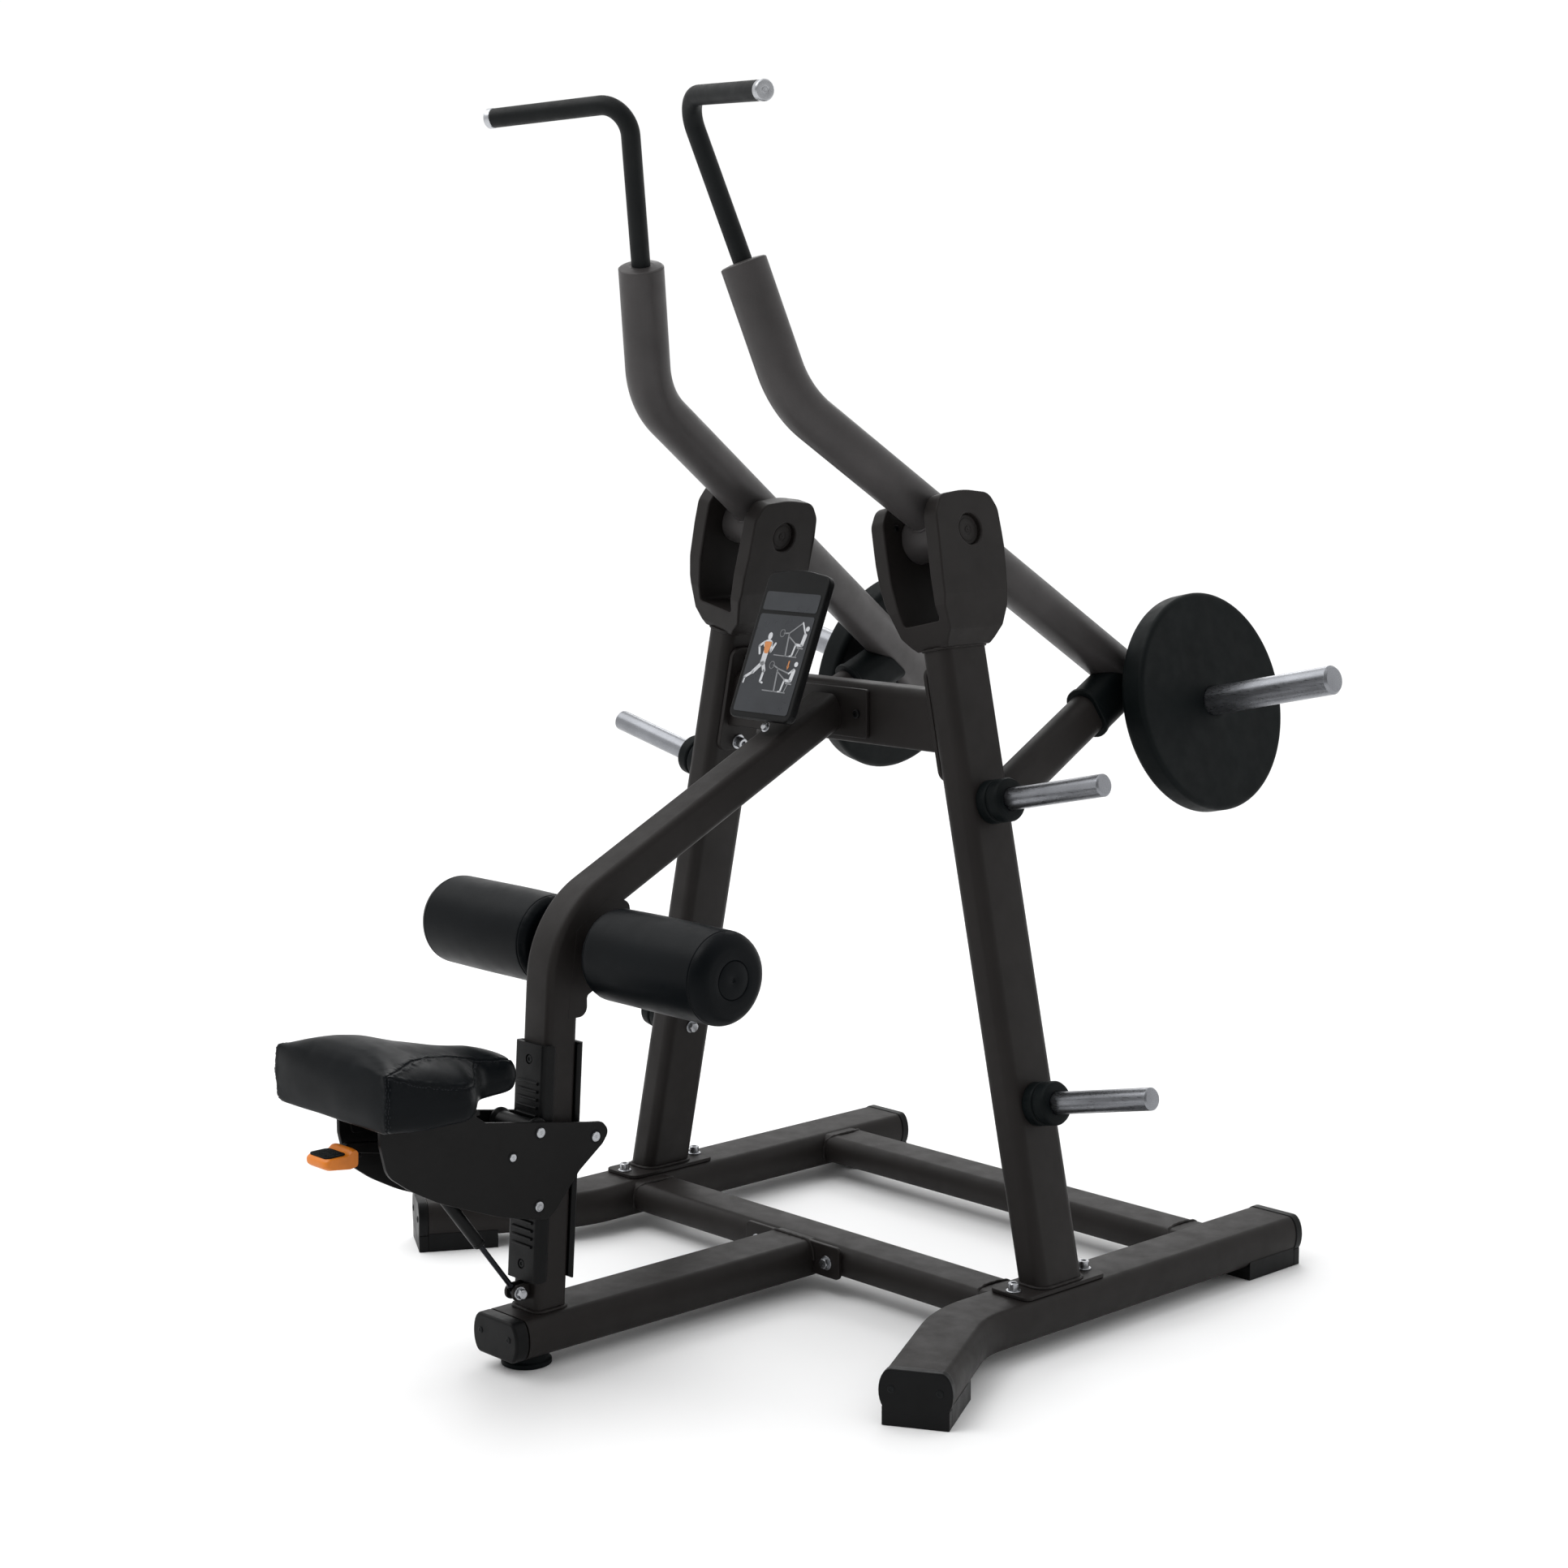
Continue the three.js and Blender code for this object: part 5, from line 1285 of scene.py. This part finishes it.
def pad_section(y):
    """The pad cut across at y: flat underneath, upright sides, domed on top."""
    half = max(pad_half(y), 3.0)
    low, edge = pad_bottom(y), pad_edge(y)
    radius = min(15.0, half * 0.6)
    right = [(half - radius, low)]
    right += arc(half - radius, low + radius, radius, radius, -pi / 2, 0, 5)[1:]
    swell = 4.5 * min(1.0, half / 60)
    right += [(half + swell * sin(pi * t), low + radius + (edge - 5 - low - radius) * t)
              for t in np.linspace(0.12, 1, 7)]
    dome = [(half * u * 0.99, pad_top(half * u, y, half)) for u in np.cos(np.linspace(0.12, pi - 0.12, 25))]
    left = [(-x, z) for x, z in right[::-1]]
    outline = right + dome + left + [(0.0, low)]
    middle = (low + edge) / 2 + 6
    end = squeeze((y - PAD["tip"] + 20) / 20, 2.4)
    return [(x, y, middle + (z - middle) * max(end, 0.3)) for x, z in outline]


def pad_form():
    rear, tip = PAD["rear"] + PAD_INSET, PAD["tip"] - PAD_INSET
    stations = [rear, rear + 1.5] + list(np.linspace(rear + 6, tip - 30, 60))
    stations += [tip - 30 * (1 - sin(pi * k / 24)) for k in range(1, 13)]
    shape = loft([pad_section(min(y, PAD["tip"] - 0.6)) for y in stations])
    points = shape.points * np.array([1 - PAD_INSET / PAD["wide"], 1, 1])
    points[:, 1] -= 4 * rear_swell(points[:, 1], points[:, 2])
    return Shape(points, shape.faces)


def rear_swell(y, z):
    """How far the pad's rear panel stands out at a place, from 0 to 1."""
    rise = np.clip((z - 464) / 96, 0, 1)
    return np.sin(pi * rise) * np.exp(-np.clip(y - PAD["rear"], 0, 400) / 30)


def pad_seams():
    """Sewn lines on the right half: rear corner, over the top, and along the top edge."""
    wide, rear = PAD["wide"] - PAD_INSET, PAD["rear"] + PAD_INSET
    corner = (wide - 1, rear + 1, pad_edge(rear))
    down = [corner] + [(wide + 2 * sin(pi * (z - 464) / 96), rear + 1 - 3 * rear_swell(rear, z), z)
                       for z in (545, 530, 512, 495, 482)] + [(wide - 1, rear + 1, 474),
                                                              (wide - 8, rear + 6, 466)]
    plan = [(wide - 1, rear + 1), (128, -1040), (104, -1000), (84, -955), (66, -905), (55, -865),
            (50, -830),
            (50, -800), (42, -768), (20, -751)]
    over = [(x, y, pad_top(x, y, pad_half(y)) + 2) for x, y in plan]
    beside = [corner] + [(pad_half(y) * 0.98, y, pad_edge(y)) for y in (-1050, -1020, -988, -958, -930)]
    beside += [(pad_half(-905) + 1, -905, 517), (92, -882, 517), (74, -866, 522), (60, -846, 530)]
    return [down, over, beside]


def baked(piece):
    """Applies a piece's modifiers."""
    graph = bpy.context.evaluated_depsgraph_get()
    mesh = bpy.data.meshes.new_from_object(piece.evaluated_get(graph), depsgraph=graph)
    piece.modifiers.clear()
    piece.data = mesh
    return piece


def coordinates(mesh):
    flat = np.empty(len(mesh.vertices) * 3)
    mesh.vertices.foreach_get("co", flat)
    return flat.reshape(-1, 3)


def place_vertices(mesh, spots):
    mesh.vertices.foreach_set("co", np.ascontiguousarray(spots).ravel())
    mesh.update()


def distance_to_lines(spots, lines):
    """Shortest distance in metres from each spot to a set of polylines in metres."""
    best = np.full(len(spots), 1e9)
    for line in lines:
        for a, b in zip(line[:-1], line[1:]):
            run = b - a
            share = np.clip(((spots - a) @ run) / max(run @ run, 1e-12), 0, 1)
            best = np.minimum(best, np.linalg.norm(spots - (a + share[:, None] * run), axis=1))
    return best


def remeshed(piece, voxel, rounds):
    step = piece.modifiers.new("voxels", "REMESH")
    step.mode = "VOXEL"
    step.voxel_size = voxel
    baked(piece)
    work = bmesh.new()
    work.from_mesh(piece.data)
    for _ in range(rounds):
        bmesh.ops.smooth_vert(work, verts=work.verts, factor=0.5, use_axis_x=True, use_axis_y=True,
                              use_axis_z=True)
    work.to_mesh(piece.data)
    work.free()
    return piece


def evened(mesh, field, rounds=5):
    """A value at each vertex, averaged with its neighbours a few times."""
    ends = np.empty(len(mesh.edges) * 2, dtype=np.int32)
    mesh.edges.foreach_get("vertices", ends)
    a, b = ends.reshape(-1, 2).T
    count = np.bincount(ends, minlength=len(field)).clip(1)[:, None]
    for _ in range(rounds):
        around = np.zeros_like(field)
        np.add.at(around, a, field[b])
        np.add.at(around, b, field[a])
        field = (field + around / count) / 2
    return field


def inflated(piece, hold, cap, pressure, frames=20):
    """Blows a closed skin up with cloth simulation; hold gives each vertex's pinning."""
    before = coordinates(piece.data)
    group = piece.vertex_groups.new(name="held")
    for index, weight in enumerate(hold):
        group.add([index], float(weight), "REPLACE")
    cloth = piece.modifiers.new("swell", "CLOTH")
    stiffness = {"tension_stiffness": 18, "compression_stiffness": 18, "bending_stiffness": 0.8}
    held = {"vertex_group_mass": "held", "pin_stiffness": 1.0}
    blown = {"quality": 6, "mass": 0.3, "use_pressure": True, "uniform_pressure_force": pressure}
    for key, value in (stiffness | held | blown).items():
        setattr(cloth.settings, key, value)
    cloth.settings.effector_weights.gravity = 0
    cloth.collision_settings.use_collision = False
    scene = bpy.context.scene
    scene.frame_start, scene.frame_end = 1, frames
    for frame_number in range(1, frames + 1):
        scene.frame_set(frame_number)
    graph = bpy.context.evaluated_depsgraph_get()
    result = piece.evaluated_get(graph).to_mesh()
    after = coordinates(result)
    piece.evaluated_get(graph).to_mesh_clear()
    piece.modifiers.clear()
    piece.vertex_groups.clear()
    scene.frame_set(1)
    shift = evened(piece.data, after - before)
    size = np.linalg.norm(shift, axis=1)
    limit = np.where(size > cap, cap / np.maximum(size, 1e-9), 1.0)
    place_vertices(piece.data, before + shift * limit[:, None])
    return piece


def refined(piece, lines, reach):
    """One subdivision all over, and another beside the seams."""
    step = piece.modifiers.new("smooth", "SUBSURF")
    step.levels = step.render_levels = 1
    baked(piece)
    work = bmesh.new()
    work.from_mesh(piece.data)
    work.verts.ensure_lookup_table()
    near = distance_to_lines(coordinates(piece.data), lines) < reach
    faces = [f for f in work.faces if any(near[v.index] for v in f.verts)]
    edges = list({e for f in faces for e in f.edges})
    bmesh.ops.subdivide_edges(work, edges=edges, cuts=1, use_grid_fill=True, smooth=0.0)
    bmesh.ops.triangulate(work, faces=[f for f in work.faces if len(f.verts) > 4])
    bmesh.ops.recalc_face_normals(work, faces=work.faces)
    work.to_mesh(piece.data)
    work.free()
    return piece


def vertex_normals(mesh):
    flat = np.empty(len(mesh.vertices) * 3)
    mesh.vertex_normals.foreach_get("vector", flat)
    return flat.reshape(-1, 3)


def on_surface(piece, line, spacing):
    """A line laid on a piece's skin: evenly spaced points and the skin's normals there."""
    tree = BVHTree.FromObject(piece, bpy.context.evaluated_depsgraph_get())
    spots, normals = [], []
    for spot, _ in along(line, False, spacing):
        place, normal, _, _ = tree.find_nearest(spot)
        spots.append(place)
        normals.append(normal)
    return spots, normals


def stitches(piece, line, offset, pitch=5.2):
    """Thread stitches lying on the skin beside a sewn line, in metres."""
    spots, normals = on_surface(piece, line, pitch * MM)
    tree = BVHTree.FromObject(piece, bpy.context.evaluated_depsgraph_get())
    shapes = []
    radius, half = 0.42, 1.7
    for i in range(1, len(spots) - 1):
        heading = (spots[i + 1] - spots[i - 1]).normalized()
        beside = heading.cross(normals[i]).normalized()
        place, normal, _, _ = tree.find_nearest(spots[i] + beside * offset * MM)
        centre = (place + normal * 0.15 * MM) / MM
        profile = [(0, -half - radius * 0.8), (radius * 0.7, -half - radius * 0.4), (radius, -half * 0.7),
                   (radius * 1.05, 0), (radius, half * 0.7), (radius * 0.7, half + radius * 0.4),
                   (0, half + radius * 0.8)]
        shapes.append(lathe(profile, 8).moved(aim(heading, centre - Vector((0, PIVOT_Y / MM, 0)))))
    return total(shapes)


def seat_pad():
    piece = raw("seat_cushion", pad_form())
    remeshed(piece, 5 * MM, 3)
    halves = pad_seams()
    lines = []
    for line in halves + [[(-x, y, z) for x, y, z in half] for half in halves]:
        lines.append(np.array(line) * MM + np.array([0, PIVOT_Y, 0]))
    spots = coordinates(piece.data)
    seam = np.exp(-(distance_to_lines(spots, lines) / (7 * MM)) ** 2)
    base = 1 - np.clip((spots[:, 2] - 466 * MM) / (8 * MM), 0, 1)
    inflated(piece, np.clip(np.maximum(seam * 0.97, base), 0, 1), 9 * MM, 6.5)
    refined(piece, lines, 5 * MM)
    laid = []
    for line in lines:
        points, _ = on_surface(piece, [Vector(p) for p in line], 3 * MM)
        laid.append(np.array([tuple(p) for p in points]))
    spots, normals = coordinates(piece.data), vertex_normals(piece.data)
    reach = distance_to_lines(spots, laid)
    groove = 1.2 * np.exp(-(reach / (1.3 * MM)) ** 2) - 0.4 * np.exp(-((reach - 5.5 * MM) / (3 * MM)) ** 2)
    pucker = np.array([noise.noise(Vector(s) * 95) + 0.6 * noise.noise(Vector(s) * 210) for s in spots])
    pucker *= 0.7 * np.exp(-((reach - 4 * MM) / (8 * MM)) ** 2)
    broad = np.array([noise.noise(Vector(s) * 17) for s in spots]) * 0.7
    lift = (pucker + broad - groove) * MM
    lift[spots[:, 2] < 468 * MM] = 0
    place_vertices(piece.data, spots + normals * lift[:, None])
    dress(piece, VINYL, "seat", ["seat_pad"], angle=180)
    for index, name in enumerate(("corner", "over", "side")):
        for side, shift in (("right", 0), ("left", 3)):
            line = [Vector(p) for p in lines[index + shift]]
            thread = stitches(piece, line, 2.6)
            if name == "corner":
                thread = thread + stitches(piece, line, -2.6)
            make(f"seat_thread_{name}_{side}", thread, THREAD, "seat", angle=60)


# ------------------------------------------------------------------ studio
def pale_floor():
    n = Nodes("studio_floor", "frame_paint")
    n.set(Base_Color=n.ramp(n.noise(0.6, 3, 0.5), [(0.35, (0.895, 0.897, 0.9)),
                                                   (0.7, (0.92, 0.921, 0.923))]),
          Roughness=n.ramp(n.noise(4, 4, 0.5), [(0.3, 0.55), (0.7, 0.68)]))
    return n.material


def studio():
    mesh = bpy.data.meshes.new("studio_floor")
    ring = [(16 * cos(2 * pi * k / 96), 16 * sin(2 * pi * k / 96), 0) for k in range(96)]
    mesh.from_pydata(ring, [], [tuple(range(96))])
    floor = bpy.data.objects.new("studio_floor", mesh)
    floor.location.z = -0.0005
    show(floor)
    mesh.materials.append(pale_floor())
    world = bpy.data.worlds.new("studio")
    world.use_nodes = True
    backdrop(world.node_tree)
    bpy.context.scene.world = world
    bpy.context.scene.view_settings.view_transform = "Standard"
    sun = bpy.data.lights.new("overhead", "SUN")
    sun.energy, sun.angle = 1.15, 1.0
    lamp = bpy.data.objects.new("overhead", sun)
    lamp.rotation_euler = Vector((-0.4, -0.25, 0.88)).to_track_quat("Z", "Y").to_euler()
    show(lamp)
    softbox("key", (-0.6, -2.6, 4.4), (0, -0.2, 0.7), 2.4, 40)
    softbox("back", (-2.8, 3.6, 3.4), (0, 0, 0.8), 2.2, 30)


def backdrop(tree):
    """White walls and ceiling, with a darker wall on the machine's front right."""
    place = tree.nodes.new("ShaderNodeTexCoord")
    dot = tree.nodes.new("ShaderNodeVectorMath")
    dot.operation = "DOT_PRODUCT"
    dot.inputs[1].default_value = (0.72, -0.68, -0.12)
    tree.links.new(place.outputs["Generated"], dot.inputs[0])
    band = tree.nodes.new("ShaderNodeValToRGB")
    band.color_ramp.interpolation = "EASE"
    for element, (position, grey) in zip(band.color_ramp.elements, ((0.0, 1.0), (0.85, 0.4))):
        element.position = position
        element.color = (grey, grey, grey, 1)
    tree.links.new(dot.outputs["Value"], band.inputs["Fac"])
    tree.links.new(band.outputs["Color"], tree.nodes["Background"].inputs["Color"])
    tree.nodes["Background"].inputs["Strength"].default_value = 1.02


def softbox(name, spot, target, size, power):
    light = bpy.data.lights.new(name, "AREA")
    light.shape = "RECTANGLE"
    light.size, light.size_y = size, size * 0.7
    light.energy = power
    lamp = bpy.data.objects.new(name, light)
    lamp.location = spot
    lamp.rotation_euler = (Vector(target) - Vector(spot)).to_track_quat("-Z", "Y").to_euler()
    show(lamp)


def camera():
    lens = bpy.data.cameras.new("camera")
    lens.lens = CAMERA["lens"]
    lens.sensor_width = 36
    eye = bpy.data.objects.new("camera", lens)
    x, y, z = CAMERA["spot"]
    eye.location = (x * MM, y * MM + PIVOT_Y, z * MM)
    eye.rotation_euler = (radians(90 - CAMERA["elevation"]), 0, radians(CAMERA["azimuth"]))
    show(eye)
    bpy.context.scene.camera = eye


# ------------------------------------------------------------------ build
camera()
studio()
side_rails()
feet()
cross_tubes()
centre_rail()
uprights()
yokes()
weight_storage()
stop_arms()
crossbeam()
seat_post()
guides()
placard()
lever_arms()
handles()
weight_discs()
thigh_rollers()
carriage()
guide_rollers()
latch_lever()
gas_spring()
seat_pad()
